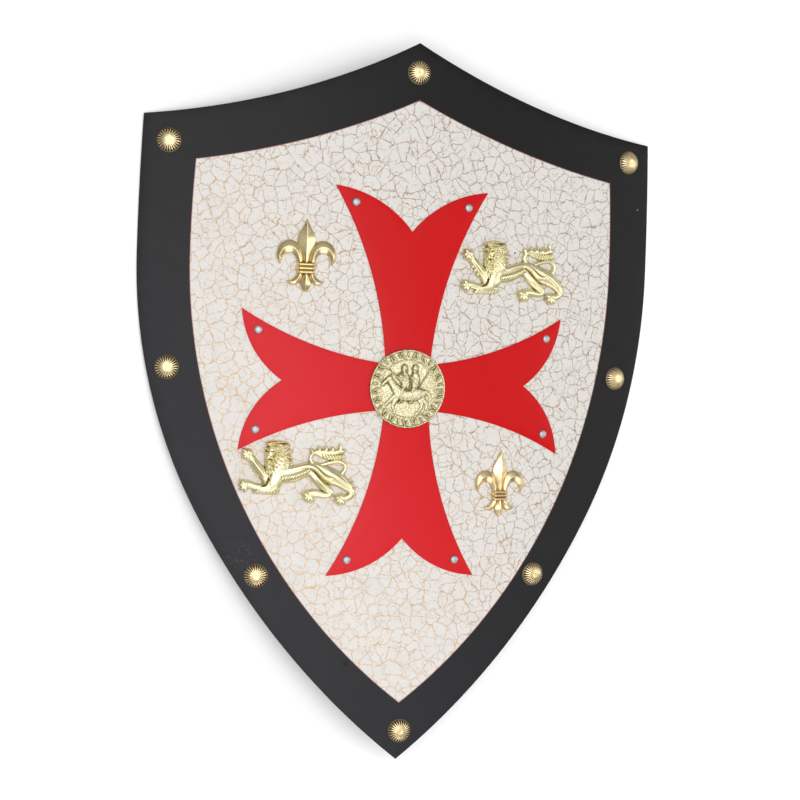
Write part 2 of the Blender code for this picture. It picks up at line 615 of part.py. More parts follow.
MEDALLION_SIZE = (200.0, 200.0)
STROKE_COUNT = 44
HORSE = (
    [(34, -6, 5, 3), (46, -8, 4, 3.2), (52, -22, 3.6, 3), (50, -40, 1.2, 2)],
    [(-20, -12, 12, 7), (0, -15, 12, 7.4), (22, -12, 13.5, 7.6), (30, -10, 11, 6.6)],
    [(-22, -6, 11, 6.6), (-34, 8, 8, 6.4), (-42, 20, 6.4, 6.4)],
    [(-42, 22, 6, 6.8), (-52, 14, 4.4, 6.4), (-58, 8, 3.6, 6)],
    [(-40, 27, 1.6, 6), (-38, 33, 0.7, 3)],
)
HORSE_LEGS = ((24, (33, -36), (25, -50), (20, -56)), (30, (44, -34), (40, -48), (36, -57)),
              (-22, (-33, -38), (-28, -50), (-34, -56)), (-26, (-46, -32), (-52, -44), (-57, -44)))
SHIELDS = (
    [(8, 26, 4, 8.4), (14, 20, 7.6, 9.6), (17, 8, 5.6, 9.2), (18, -3, 1, 6)],
    [(-24, 26, 1.2, 4), (-18, 27, 7, 9.6), (-10, 24, 9.6, 10.4), (-4, 12, 8, 10), (0, -2, 1.2, 6)],
)
LANCES = (
    [(-52, 50, 0.9, 4), (-30, 30, 1.3, 5), (-6, 6, 1.2, 5)],
    [(50, 44, 0.9, 4), (38, 24, 1.3, 5), (26, 4, 1.2, 5)],
)
RIDERS_SCALE = 1.16


def riders(points):
    """Two helmeted riders with long shields on one horse. The helmets hide their faces."""
    relief = Relief(points)
    for hip, knee, foot, hoof in HORSE_LEGS:
        relief.add([(hip, -16, 7, 4), (*knee, 3.6, 3.6), (*foot, 2.8, 3.2), (*hoof, 3.4, 3.4)], 0.2)
    for stroke in HORSE:
        relief.add(stroke)
    for x in (16, -8):
        relief.add([(x, 8, 8, 7.4), (x + 1, 22, 8.6, 7.8), (x, 30, 7, 7.2)])
        relief.add([(x - 4, 0, 5, 8.4), (x - 9, -14, 4.2, 9), (x - 7, -26, 3.4, 8.2),
                    (x - 12, -30, 2.6, 7.4)], 0.2)
        relief.add([(x - 1, 41, 7.2, 7.6), (x - 1, 45, 6.6, 8.4), (x - 1, 50, 4.2, 7)], 0.15)
        relief.raise_on([(x - 8.5, 41.5, 1.4, 1.4), (x + 6.5, 41.5, 1.4, 1.4)])
    for stroke in SHIELDS:
        relief.add(stroke, 0.45)
    for stroke in LANCES:
        relief.add(stroke)
    return relief


def medallion(points):
    relief = Relief(points)
    radius = np.hypot(*points.T)
    relief.inside = 100 - radius
    relief.height = 1 + 2.6 * np.sqrt(np.clip(1 - np.abs(radius - 97.2) / 2.8, 0, 1))
    relief.height += 1.8 * np.sqrt(np.clip(1 - ((radius - 72.5) / 1.5)**2, 0, 1))
    for k in range(STROKE_COUNT):
        turn = 2 * math.pi * k / STROKE_COUNT
        low, high, lean = 78 + k * 3 % 5, 93 - k * 5 % 4, 0.03 * (k * 7 % 5 - 1)
        relief.raise_on([(low * math.cos(turn), low * math.sin(turn), 2.4, 4),
                         (high * math.cos(turn + lean), high * math.sin(turn + lean), 2.4, 4)])
    relief.height += 0.8 * riders(points / RIDERS_SCALE).height * (radius < 71)
    return relief


# Castings

def relief_surface(form, size, unit):
    """The top of a casting as an open mesh, cut off at the outline."""
    width, height = size[0] * unit, size[1] * unit
    margin = CASTING_MARGIN * max(width, height)
    columns = round((width + 2 * margin) / CASTING_GRID)
    rows = round((height + 2 * margin) / CASTING_GRID)
    shape = bmesh.new()
    bmesh.ops.create_grid(shape, x_segments=columns, y_segments=rows, size=1.0)
    for vert in shape.verts:
        vert.co.x *= width / 2 + margin
        vert.co.y *= height / 2 + margin
    middle = np.array(FORM_MIDDLES[form])

    def measure():
        points = np.array([vert.co.xy for vert in shape.verts]) / unit + middle
        return form(points)

    for vert, inside in zip(shape.verts, measure().inside):
        vert.co.z = inside
    everything = shape.verts[:] + shape.edges[:] + shape.faces[:]
    bmesh.ops.bisect_plane(shape, geom=everything, dist=1e-4, plane_co=(0, 0, 0), plane_no=(0, 0, 1),
                           clear_inner=True)
    for vert, height in zip(shape.verts, measure().height):
        vert.co.z = CASTING_EDGE + height * unit
    bmesh.ops.remove_doubles(shape, verts=shape.verts, dist=WELD)
    return shape


FORM_MIDDLES = {lion: (50.0, 26.8), fleur: (0.0, 50.0), medallion: (0.0, 0.0)}


def casting(name, form, size, unit, triangles, place, turn, radius, group, finish):
    """Thins the relief, gives it walls and a back, and bends it to the facets of the face."""
    across, drop = place
    surface = add_object(name, mesh_from(name, relief_surface(form, size, unit)), group)
    surface.data.calc_loop_triangles()
    thin = surface.modifiers.new("Thin", "DECIMATE")
    thin.ratio = triangles / len(surface.data.loop_triangles)
    shape = bmesh.new()
    shape.from_mesh(mesh_of(surface))
    bpy.data.objects.remove(surface, do_unlink=True)
    rim = [edge for edge in shape.edges if edge.is_boundary]
    walls = bmesh.ops.extrude_edge_only(shape, edges=rim)["geom"]
    foot = [item for item in walls if isinstance(item, bmesh.types.BMVert)]
    for vert in foot:
        vert.co.z = 0.0
    back = [edge for edge in walls if isinstance(edge, bmesh.types.BMEdge) and edge.is_boundary]
    bmesh.ops.triangle_fill(shape, edges=back, use_beauty=True)
    about = Matrix.Rotation(math.radians(turn), 3, "Z")
    bmesh.ops.rotate(shape, verts=shape.verts, cent=(0, 0, 0), matrix=about)
    lean = math.asin(across / FACE_RADIUS)
    reach = max(abs(vert.co.x) for vert in shape.verts) / FACE_RADIUS
    first = math.ceil((lean - reach) / FACET_ANGLE - 0.5)
    last = math.floor((lean + reach) / FACET_ANGLE - 0.5)
    for line in range(first, last + 1):
        spot = ((line + 0.5) * FACET_ANGLE - lean) * FACE_RADIUS
        everything = shape.verts[:] + shape.edges[:] + shape.faces[:]
        bmesh.ops.bisect_plane(shape, geom=everything, dist=WELD, plane_co=(spot, 0, 0), plane_no=(1, 0, 0))
    bmesh.ops.triangulate(shape, faces=shape.faces)
    for vert in shape.verts:
        angle = lean + vert.co.x / FACE_RADIUS
        strip = round(angle / FACET_ANGLE) * FACET_ANGLE
        out = (radius + GAP) * math.cos(FACET_ANGLE / 2) / math.cos(angle - strip) + vert.co.z
        vert.co = (out * math.sin(angle), PEAK - drop + vert.co.y, AXIS_HEIGHT + out * math.cos(angle))
    bmesh.ops.recalc_face_normals(shape, faces=shape.faces)
    return add_object(name, mesh_from(name, shape), group, finish)


def main():
    clear_scene()
    parts = collection("medieval shield")
    cutters = collection("cutters")
    black = material("black paint", (0.045, 0.045, 0.05), 0.45, 0.0)
    red = material("red paint", (0.65, 0.02, 0.025), 0.4, 0.0)
    silver = material("bright steel", (0.72, 0.72, 0.72), 0.25, 1.0)
    antique = material("antique gold", (0.62, 0.42, 0.18), 0.35, 1.0)
    gilt = material("gilt", (0.85, 0.74, 0.38), 0.22, 1.0)

    outline = board_outline()
    rivets = cross_rivet_places()
    studs = border_stud_places(outline)
    rivet_holes = hole_cutter("rivet holes", rivets.values(), RIVET_SHANK_RADIUS + HOLE_CLEARANCE,
                              RIVET_SIDES, cutters)
    stud_holes = hole_cutter("stud holes", studs.values(), STUD_SHANK_RADIUS + HOLE_CLEARANCE,
                             STUD_SHANK_SIDES, cutters)

    board = bent_sheet("shield_board", BACK_RADIUS, BOARD_THICKNESS, parts, black)
    boolean(board, outline_prism("board outline", outline, cutters), "INTERSECT")
    boolean(board, rivet_holes, "DIFFERENCE")
    boolean(board, stud_holes, "DIFFERENCE")
    cross = bent_sheet("cross_plate", CROSS_BACK_RADIUS, CROSS_THICKNESS, parts, red)
    boolean(cross, outline_prism("cross outline", cross_outline(), cutters), "INTERSECT")
    boolean(cross, rivet_holes, "DIFFERENCE")

    rivet = rivet_mesh(cutters)
    for name, (across, up) in rivets.items():
        piece = add_object(f"cross_rivet_{name}", rivet.copy(), parts, silver)
        piece.matrix_world = place_on_face(across, up, CROSS_FACE_RADIUS)
    stud = stud_mesh(cutters)
    for name, (across, up) in studs.items():
        piece = add_object(f"border_stud_{name}", stud.copy(), parts, antique)
        piece.matrix_world = place_on_face(across, up, FACE_RADIUS)

    for name, place, turn in (("lion_upper_right", LION_UPPER, LION_UPPER_TURN),
                              ("lion_lower_left", LION_LOWER, 0.0)):
        casting(name, lion, LION_SIZE, LION_LENGTH / LION_SIZE[0], LION_TRIANGLES,
                place, turn, FACE_RADIUS, parts, gilt)
    for name, place, height in (("fleur_upper_left", FLEUR_UPPER, FLEUR_UPPER_HEIGHT),
                                ("fleur_lower_right", FLEUR_LOWER, FLEUR_LOWER_HEIGHT)):
        casting(name, fleur, FLEUR_SIZE, height / FLEUR_SIZE[1], FLEUR_TRIANGLES,
                place, 0.0, FACE_RADIUS, parts, gilt)
    casting("medallion", medallion, MEDALLION_SIZE, 2 * MEDALLION_RADIUS / MEDALLION_SIZE[0],
            MEDALLION_TRIANGLES, (CROSS_ACROSS, MEDALLION_DROP), 0.0, CROSS_FACE_RADIUS, parts, gilt)


main()
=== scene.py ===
"""Looks of the medieval shield: painted sheet, riveted cross, fluted studs and gilt castings."""
import math

import bmesh
import bpy
import numpy as np
from mathutils import Matrix, Vector, geometry


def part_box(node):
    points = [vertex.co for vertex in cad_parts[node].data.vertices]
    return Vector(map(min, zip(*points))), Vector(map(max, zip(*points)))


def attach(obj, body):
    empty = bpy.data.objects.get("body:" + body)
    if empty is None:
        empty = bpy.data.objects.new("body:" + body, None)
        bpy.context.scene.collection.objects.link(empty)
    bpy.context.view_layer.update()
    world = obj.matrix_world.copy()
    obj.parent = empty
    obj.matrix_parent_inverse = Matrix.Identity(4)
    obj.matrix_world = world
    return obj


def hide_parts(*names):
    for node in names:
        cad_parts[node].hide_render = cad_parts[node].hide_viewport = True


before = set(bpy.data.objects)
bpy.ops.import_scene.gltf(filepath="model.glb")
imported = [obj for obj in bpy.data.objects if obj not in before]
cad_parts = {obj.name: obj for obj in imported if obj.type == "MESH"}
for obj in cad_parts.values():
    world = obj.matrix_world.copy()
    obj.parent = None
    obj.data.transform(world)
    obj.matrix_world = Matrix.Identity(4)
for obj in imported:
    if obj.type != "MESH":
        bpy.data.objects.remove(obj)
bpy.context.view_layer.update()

BODY = "root"

# The bent face, as in the model of the solids
FACE_RADIUS = 1.000             # the sheet is bent like a part of a cylinder along Y
FACET_ANGLE = 0.036             # of the flat strips that stand for the bend there
_, BOARD_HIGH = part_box("shield_board")
PEAK = BOARD_HIGH.y
BOARD_HALF_WIDTH = BOARD_HIGH.x
AXIS_HEIGHT = BOARD_HIGH.z - FACE_RADIUS * math.cos(FACET_ANGLE / 2)
BOARD_THICKNESS = 0.00142
CROSS_THICKNESS = 0.0010
SEAT = 0.00004                  # between a fitting and the paint it sits on
SHEET_FACE = FACE_RADIUS - 0.00008       # a hair inside the solids, so that nothing leaves their box
SHEET_BACK = SHEET_FACE - BOARD_THICKNESS
CROSS_BACK = SHEET_FACE + SEAT
CROSS_FACE = CROSS_BACK + CROSS_THICKNESS

# Board outline, square on
CORNER_HALF_WIDTH = 0.268
CORNER_DROP = 0.0832            # peak down to the corners
TOP_EDGE_RADIUS = 0.716
SHOULDER_DROP = 0.220           # peak down to the widest place
SHOULDER_RADIUS = 0.540
KNEE_DROP = 0.480               # peak down to where the side's radius changes
OUTLINE_SPACING = 0.004         # of the points along an arc

# Ivory field on the board: a mask's outline, a little off the middle
FIELD_ACROSS = 0.0015
FIELD_TOP = (0.0, 0.3032)
FIELD_CORNER = (0.2193, 0.2344)
FIELD_WIDEST = (0.2225, 0.1408)
FIELD_TIP = (0.0, -0.3024)
FIELD_TOP_RADIUS = 0.7706
FIELD_SIDE_RADIUS = 1.334
FIELD_FLANK_RADIUS = 0.5552
RED_LINE = 0.0009               # width of the red undercoat that shows beside the field

# Cross plate
CROSS_ACROSS = -0.0015
CROSS_DROP = 0.3395             # peak down to the middle between the cross's tips
WAIST_HALF_WIDTH = 0.0235
WAIST_DROP = 0.0041
UP_TIP = (0.0800, 0.1948)       # half spread and reach of the upper arm's tips
DOWN_TIP = (0.0777, 0.1939)
SIDE_TIP = (0.0700, 0.1683)
UP_NOTCH = 0.1518
DOWN_NOTCH = 0.1559
SIDE_NOTCH = 0.1274
LONG_EDGE_HOLLOW = 0.0111
SIDE_EDGE_HOLLOW = 0.0086
END_BULGE = 0.0092

# Fasteners
RIVET_HEAD_RADIUS = 0.00425
RIVET_HEAD_HEIGHT = 0.0023
RIVET_TAIL_RADIUS = 0.0028
RIVET_TAIL_HEIGHT = 0.0012
RIVET_FULLNESS = 1.15           # how full the dome's sides are
RIVET_SIDES = 40
STUD_RADIUS = 0.0120
STUD_HEIGHT = 0.0058
STUD_FULLNESS = 2.2
STUD_DOME = 0.93                # share of the stud's radius that is dome, not brim
DOME_CUT = 0.985                # the dome ends at the brim just before it is upright
STUD_BRIM = ((0.95, 0.0007), (0.985, 0.0005), (1.0, 0.00015), (1.0, 0.0))   # share of radius, height
BRIM_TOP = 0.00075              # what stands higher belongs to the dome
DIMPLE_DEPTH = 0.00045
DIMPLE_WIDTH = 0.15             # share of the dome's radius
STUD_FLUTES = 24
FLUTE_SIDES = 10                # sides of the dome to each flute
FLUTE_DEPTH = 0.0014
FLUTE_START, FLUTE_FULL = 0.22, 0.80     # shares of the stud's radius
FLUTE_WIDTH, FLUTE_GAIN = 0.36, 0.38     # height up the wave at a flute's start, and gained outwards
FLUTE_BITE = 0.8                # share of the dome's height that a flute may take away
STUD_SHADOW = 0.3               # painted shade of the brim and of a ring in the dimple, on the scale of a flute's depth
SHADOW_RING, RING_WIDTH = 0.11, 0.06     # shares of the stud's radius
STUD_TAIL_RADIUS = 0.0036
STUD_TAIL_HEIGHT = 0.0014
# A hammered tail from its neck down: shares of its radius and height
TAIL_PROFILE = ((0.5, 0.0), (1.0, 0.0), (1.0, 0.35), (0.9, 0.75), (0.6, 0.97), (0.0, 1.0))

# Castings
CASTING_EDGE = 0.0012
LION_LENGTH = 0.1170
LION_TURNS = {"lion_upper_right": 1.5, "lion_lower_left": 0.0}
FLEUR_HEIGHTS = {"fleur_upper_left": 0.0724, "fleur_lower_right": 0.0670}
MEDALLION_RADIUS = 0.0397
CASTING_SPACING = 0.00032       # of the points of the fine castings

# Camera, fitted to the photograph in the shield's own axes
YAW, PITCH, ROLL = 0.3004, 0.0428, -0.0347
CAMERA_DISTANCE = 1.872
CAMERA_SLIDE = Vector((0.008424, -0.001944, 0.0))
LENS = 83.9
SHIFT = (0.0007, 0.0025)
RIDGE = AXIS_HEIGHT + FACE_RADIUS


# Outlines

def arc(start, end, bulge):
    """Points from start up to, but not including, end. The arc bulges to the left of its way."""
    start, end = np.array(start, float), np.array(end, float)
    chord = end - start
    length = np.hypot(*chord)
    along = chord / length
    left = np.array([-along[1], along[0]])
    radius = length**2 / (8 * bulge) + bulge / 2
    centre = start + chord / 2 + left * (bulge - radius)
    half = math.asin(length / 2 / radius)
    turns = np.linspace(-half, half, math.ceil(length / OUTLINE_SPACING), endpoint=False)
    return [tuple(centre + radius * (along * math.sin(turn) + left * math.cos(turn))) for turn in turns]


def round_arc(start, end, radius):
    """The arc of this radius. With a negative radius it bulges to the right of its way."""
    half = math.hypot(end[0] - start[0], end[1] - start[1]) / 2
    return arc(start, end, math.copysign(abs(radius) - math.sqrt(radius**2 - half**2), radius))


def arc_centre(start, end, radius):
    """Centre of the arc from start to end whose middle lies to the right of its way."""
    start, end = np.array(start), np.array(end)
    chord = end - start
    length = np.hypot(*chord)
    right = np.array([chord[1], -chord[0]]) / length
    return start + chord / 2 + right * math.sqrt(radius**2 - length**2 / 4)


def mirrored(right_half):
    """A closed outline from its right half, which runs from the top to the bottom middle."""
    return right_half + [(-x, y) for x, y in reversed(right_half[1:-1])]


def board_outline():
    peak = np.array([0.0, PEAK])
    corner = np.array([CORNER_HALF_WIDTH, PEAK - CORNER_DROP])
    shoulder = np.array([BOARD_HALF_WIDTH, PEAK - SHOULDER_DROP])
    turn = math.asin((KNEE_DROP - SHOULDER_DROP) / SHOULDER_RADIUS)
    inward = np.array([-math.cos(turn), math.sin(turn)])
    knee = shoulder - [SHOULDER_RADIUS, 0] - SHOULDER_RADIUS * inward
    tip = np.array([0.0, -PEAK])
    rise, fall = corner - shoulder, tip - knee
    flank_radius = rise @ rise / (2 * (BOARD_HALF_WIDTH - CORNER_HALF_WIDTH))
    tip_radius = fall @ fall / (2 * inward @ fall)
    right = round_arc(peak, corner, -TOP_EDGE_RADIUS) + round_arc(corner, shoulder, flank_radius)
    right += round_arc(shoulder, knee, SHOULDER_RADIUS) + round_arc(knee, tip, tip_radius)
    return mirrored(right + [tuple(tip)])


def field_outline():
    right = round_arc(FIELD_TOP, FIELD_CORNER, -FIELD_TOP_RADIUS)
    right += round_arc(FIELD_CORNER, FIELD_WIDEST, FIELD_SIDE_RADIUS)
    right += round_arc(FIELD_WIDEST, FIELD_TIP, FIELD_FLANK_RADIUS)
    return [(x + FIELD_ACROSS, y) for x, y in mirrored(right + [FIELD_TIP])]


def cross_outline():
    middle = PEAK - CROSS_DROP
    waist_up = (WAIST_HALF_WIDTH, middle - WAIST_DROP + WAIST_HALF_WIDTH)
    waist_down = (WAIST_HALF_WIDTH, middle - WAIST_DROP - WAIST_HALF_WIDTH)
    up_tip = (UP_TIP[0], middle + UP_TIP[1])
    side_up = (SIDE_TIP[1], middle + SIDE_TIP[0])
    side_down = (SIDE_TIP[1], middle - SIDE_TIP[0])
    down_tip = (DOWN_TIP[0], middle - DOWN_TIP[1])
    down_notch = (0.0, middle - DOWN_NOTCH)
    corners = ((0.0, middle + UP_NOTCH), up_tip, waist_up, side_up, (SIDE_NOTCH, middle),
               side_down, waist_down, down_tip, down_notch)
    bulges = (END_BULGE, -LONG_EDGE_HOLLOW, -SIDE_EDGE_HOLLOW, END_BULGE)
    right = []
    for start, end, bulge in zip(corners, corners[1:], bulges + bulges[::-1]):
        right += arc(start, end, bulge)
    return [(CROSS_ACROSS + x, y) for x, y in mirrored(right + [down_notch])]


# Objects

def add_object(name, mesh, *finishes):
    made = bpy.data.objects.new(name, mesh)
    bpy.context.scene.collection.objects.link(made)
    for finish in finishes:
        mesh.materials.append(finish)
    return made


def shade(mesh, sharp_from=35):
    mesh.shade_smooth()
    mesh.set_sharp_from_angle(angle=math.radians(sharp_from))


def dress(piece, node):
    """The piece rides on the shield and stands for its solid."""
    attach(piece, BODY)
    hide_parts(node)


def coordinates(mesh):
    found = np.empty(len(mesh.vertices) * 3)
    mesh.vertices.foreach_get("co", found)
    return found.reshape(-1, 3)


def set_coordinates(mesh, values):
    mesh.vertices.foreach_set("co", np.ascontiguousarray(values, dtype=np.float32).ravel())
    mesh.update()


def set_attribute(mesh, name, values):
    """A number at every point, which the finish reads."""
    mesh.attributes.new(name, "FLOAT", "POINT").data.foreach_set("value", values.astype(np.float32))


# Sheets

SHEET_SPACING = 0.010           # of the points within a sheet
RIM_CLEARANCE = 0.55            # share of the spacing that these points keep from an outline
SHEET_RIM = 0.0003              # width of a sheet's softened edges


def is_within(points, loop):
    """Which points lie inside a closed outline, by the crossings of a line to the right."""
    inside = np.zeros(len(points), bool)
    for (x0, y0), (x1, y1) in zip(loop, loop[1:] + loop[:1]):
        if y0 != y1:
            spans = (points[:, 1] > y0) != (points[:, 1] > y1)
            inside ^= spans & (points[:, 0] < x0 + (x1 - x0) * (points[:, 1] - y0) / (y1 - y0))
    return inside


def filled(outline, inner):
    """Triangles that fill an outline, with an inner outline among their edges."""
    loops = [loop for loop in (outline, inner) if loop]
    rim = np.vstack(loops)
    low, high = rim.min(0), rim.max(0)
    across = np.arange(low[0], high[0], SHEET_SPACING)
    up = np.arange(low[1], high[1], SHEET_SPACING * math.sqrt(3) / 2)
    x, y = np.meshgrid(across, up)
    x[1::2] += SHEET_SPACING / 2
    middle = np.column_stack([x.ravel(), y.ravel()])
    middle = middle[is_within(middle, outline)]
    clear = [np.hypot(*(rim - point).T).min() > RIM_CLEARANCE * SHEET_SPACING for point in middle]
    points = np.vstack([rim, middle[clear]])
    edges, first = [], 0
    for loop in loops:
        edges += [(first + i, first + (i + 1) % len(loop)) for i in range(len(loop))]
        first += len(loop)
    result = geometry.delaunay_2d_cdt([Vector(point) for point in points], edges, [], 0, 1e-7, False)
    points, triangles = np.array([tuple(point) for point in result[0]]), np.array(result[2])
    middles = points[triangles].mean(1)
    kept = is_within(middles, outline)
    is_inner = is_within(middles, inner) if inner else np.zeros(len(middles), bool)
    return points, triangles[kept], is_inner[kept]


def sheet(name, outline, inner, back, face, finishes):
    """A sheet cut to its outline, with softened edges, bent to the curve of the shield."""
    points, triangles, is_inner = filled(outline, inner)
    shape = bmesh.new()
    top = [shape.verts.new((x, y, face - FACE_RADIUS)) for x, y in points]
    for corners, is_field in zip(triangles, is_inner):
        shape.faces.new([top[i] for i in corners]).material_index = int(is_field)
    for vert in [vert for vert in shape.verts if not vert.link_faces]:
        shape.verts.remove(vert)
    under = bmesh.ops.duplicate(shape, geom=shape.verts[:] + shape.edges[:] + shape.faces[:])["geom"]
    below = [item for item in under if isinstance(item, bmesh.types.BMVert)]
    underside = [item for item in under if isinstance(item, bmesh.types.BMFace)]
    for vert in below:
        vert.co.z = back - FACE_RADIUS
    bmesh.ops.reverse_faces(shape, faces=underside)
    for face_below in underside:
        face_below.material_index = 0
    edge = [item for item in shape.edges if item.is_boundary]
    bmesh.ops.bridge_loops(shape, edges=edge)
    for made in shape.faces:
        if abs(made.normal.z) < 0.5:
            made.material_index = 0
    mesh = bpy.data.meshes.new(name)
    shape.to_mesh(mesh)
    shape.free()
    piece = add_object(name, mesh, *finishes)
    soften = piece.modifiers.new("Edges", "BEVEL")
    soften.width = SHEET_RIM
    soften.segments = 2
    soften.limit_method = "ANGLE"
    view = bpy.context.evaluated_depsgraph_get()
    view.update()
    bent = bpy.data.meshes.new_from_object(piece.evaluated_get(view))
    piece.modifiers.clear()
    places = coordinates(bent)
    places[:, 2] = AXIS_HEIGHT + np.sqrt((FACE_RADIUS + places[:, 2])**2 - places[:, 0]**2)
    set_coordinates(bent, places)
    piece.data = bent
    shade(bent)
    return piece


# Fasteners

def place_on_face(across, up, radius):
    """Matrix that stands +Z out of the bent surface of this radius."""
    lean = math.asin(across / FACE_RADIUS)
    spot = Vector((radius * math.sin(lean), up, AXIS_HEIGHT + radius * math.cos(lean)))
    return Matrix.Translation(spot) @ Matrix.Rotation(lean, 4, "Y")


def revolved(name, rings, sides):
    """A closed turned surface. Each ring is (radius, height); the first and last are points on the axis."""
    turns = np.arange(sides) * 2 * math.pi / sides
    points = [(0.0, 0.0, rings[0][1])]
    for radius, height in rings[1:-1]:
        points += [(radius * math.cos(turn), radius * math.sin(turn), height) for turn in turns]
    points.append((0.0, 0.0, rings[-1][1]))
    count = len(rings) - 2
    faces = []
    for side in range(sides):
        after = (side + 1) % sides
        faces.append((0, 1 + side, 1 + after))
        for ring in range(count - 1):
            start = 1 + ring * sides
            faces.append((start + side, start + sides + side, start + sides + after, start + after))
        last = 1 + (count - 1) * sides
        faces.append((last + side, len(points) - 1, last + after))
    mesh = bpy.data.meshes.new(name)
    mesh.from_pydata(points, [], faces)
    return mesh


def tail_rings(face, radius, height):
    """The hammered tail at the back of the board, under a head that sits on this face."""
    back = -(face - SHEET_BACK) - SEAT
    return [(radius * wide, back - height * deep) for wide, deep in TAIL_PROFILE]


def rivet_mesh():
    dome = []
    for turn in np.linspace(0, math.pi / 2, 11):
        height = RIVET_HEAD_HEIGHT * (1 - (1 - math.cos(turn))**RIVET_FULLNESS)
        dome.append((RIVET_HEAD_RADIUS * math.sin(turn), height))
    dome[-1] = (RIVET_HEAD_RADIUS, 0.0)
    tail = tail_rings(CROSS_FACE, RIVET_TAIL_RADIUS, RIVET_TAIL_HEIGHT)
    return revolved("rivet", dome + tail, RIVET_SIDES)


def stud_rings():
    """The dome, with a dimple in its middle, and a thin flat brim."""
    shares = np.concatenate([np.linspace(0, 0.3, 7), np.linspace(0.34, 0.96, 15), [1.0]])
    rings = []
    for share in shares:
        height = STUD_HEIGHT * math.sqrt(max(1 - (DOME_CUT * share)**STUD_FULLNESS, 0))
        dimple = DIMPLE_DEPTH * math.exp(-(share / DIMPLE_WIDTH)**2)
        rings.append((STUD_DOME * STUD_RADIUS * share, height - dimple))
    rings += [(wide * STUD_RADIUS, height) for wide, height in STUD_BRIM]
    return rings + tail_rings(SHEET_FACE, STUD_TAIL_RADIUS, STUD_TAIL_HEIGHT)


def stud_mesh():
    """A dome with flutes that deepen outwards, and a mark for painted shade: how deep in a flute each point
    lies, with painted shade at the brim and in a ring in the dimple.
    """
    mesh = revolved("stud", stud_rings(), STUD_FLUTES * FLUTE_SIDES)
    places = coordinates(mesh)
    share = np.hypot(places[:, 0], places[:, 1]) / STUD_RADIUS
    on_dome = (places[:, 2] > BRIM_TOP) & (share < STUD_DOME)
    wave = np.abs(np.sin(STUD_FLUTES / 2 * np.arctan2(places[:, 1], places[:, 0])))
    reach = np.clip((share - FLUTE_START) / (FLUTE_FULL - FLUTE_START), 0, 1)
    valley = np.clip(1 - wave / (FLUTE_WIDTH + FLUTE_GAIN * reach), 0, 1)**0.7
    depth = np.where(on_dome, valley * reach**0.5, 0)
    lowered = np.minimum(FLUTE_DEPTH * depth, FLUTE_BITE * np.maximum(places[:, 2], 0))
    places[:, 2] -= np.where(on_dome, lowered, 0)
    set_coordinates(mesh, places)
    # painted shade: the flutes, the brim and a ring in the dimple are marked dark for the finish
    brim = np.where((share >= 0.9) & (places[:, 2] > -0.0001), STUD_SHADOW, 0)
    eye = STUD_SHADOW * np.clip(1 - np.abs(share - SHADOW_RING) / RING_WIDTH, 0, 1) * on_dome
    set_attribute(mesh, "flute_shade", np.maximum(np.maximum(depth, brim), eye))
    return mesh


def fasteners(start, new_start, mesh, finish, face):
    """A fastener over each solid whose name starts like this."""
    shade(mesh, 40)
    for node in sorted(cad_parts):
        if node.startswith(start):
            low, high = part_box(node)
            piece = add_object(node.replace(start, new_start), mesh.copy(), finish)
            piece.matrix_world = place_on_face((low.x + high.x) / 2, (low.y + high.y) / 2, face + SEAT)
            dress(piece, node)


# Relief: a height over a drawing plane, built up from tapered strokes
# A stroke's knots are (x, y, radius, height). A keel of 0 is round across, and 1 is a sharp ridge.

def stroke_curve(knots, per_span=6):
    """A smooth curve through the knots."""
    knots = np.array(knots, float)
    ends = np.vstack([2 * knots[0] - knots[1], knots, 2 * knots[-1] - knots[-2]])
    t = np.linspace(0, 1, per_span, endpoint=False)[:, None]
    spans = []
    for a, b, c, d in zip(ends, ends[1:], ends[2:], ends[3:]):
        way = (c - a) * t + (2 * a - 5 * b + 4 * c - d) * t**2 + (3 * b - a - 3 * c + d) * t**3
        spans.append(b + 0.5 * way)
    return np.vstack(spans + [knots[-1:]])


class Relief:
    """The height at each point, and how far the point lies inside the outline."""

    def __init__(self, points):
        self.points = points
        self.inside = np.full(len(points), -1.0)
        self.height = np.zeros(len(points))

    def measure(self, knots, keel):
        curve = stroke_curve(knots)
        reach = curve[:, 2].max() * 1.05
        low = curve[:, :2].min(0) - reach
        high = curve[:, :2].max(0) + reach
        near = np.nonzero(((self.points > low) & (self.points < high)).all(1))[0]
        points = self.points[near]
        inside = np.full(len(points), -1.0)
        height = np.zeros(len(points))
        for start, end in zip(curve, curve[1:]):
            way = end[:2] - start[:2]
            share = np.clip((points - start[:2]) @ way / max(way @ way, 1e-12), 0, 1)[:, None]
            spot = start + share * (end - start)
            radius = np.maximum(spot[:, 2], 1e-4)
            away = np.hypot(*(points - spot[:, :2]).T)
            across = np.minimum(away / radius, 1)
            rise = (1 - keel) * np.sqrt(1 - across**2) + keel * (1 - across)
            inside = np.maximum(inside, radius - away)
            height = np.maximum(height, spot[:, 3] * rise)
        return near, inside, height

    def add(self, knots, keel=0.0):
        near, inside, height = self.measure(knots, keel)
        self.inside[near] = np.maximum(self.inside[near], inside)
        self.height[near] = np.maximum(self.height[near], height)

    def raise_on(self, knots, keel=0.0):
        near, _, height = self.measure(knots, keel)
        self.height[near] += height

    def cut(self, knots, keel=0.5):
        near, _, height = self.measure(knots, keel)
        self.height[near] = np.maximum(self.height[near] - height, 0)

    def lock(self, x, y, aim, length, bend, radius, height, end):
        """A lock of hair that starts thick, turns by bend degrees and runs out thin."""
        knots = []
        for share in np.linspace(0, 1, 5):
            knots.append((x, y, radius * (1 - share)**0.6 + 0.45, height + (end - height) * share))
            turn = math.radians(aim + bend * share)
            x += length / 4 * math.cos(turn)
            y += length / 4 * math.sin(turn)
        self.add(knots, 0.35)


# Lion, walking to the left, on a grid of 100 units to its length

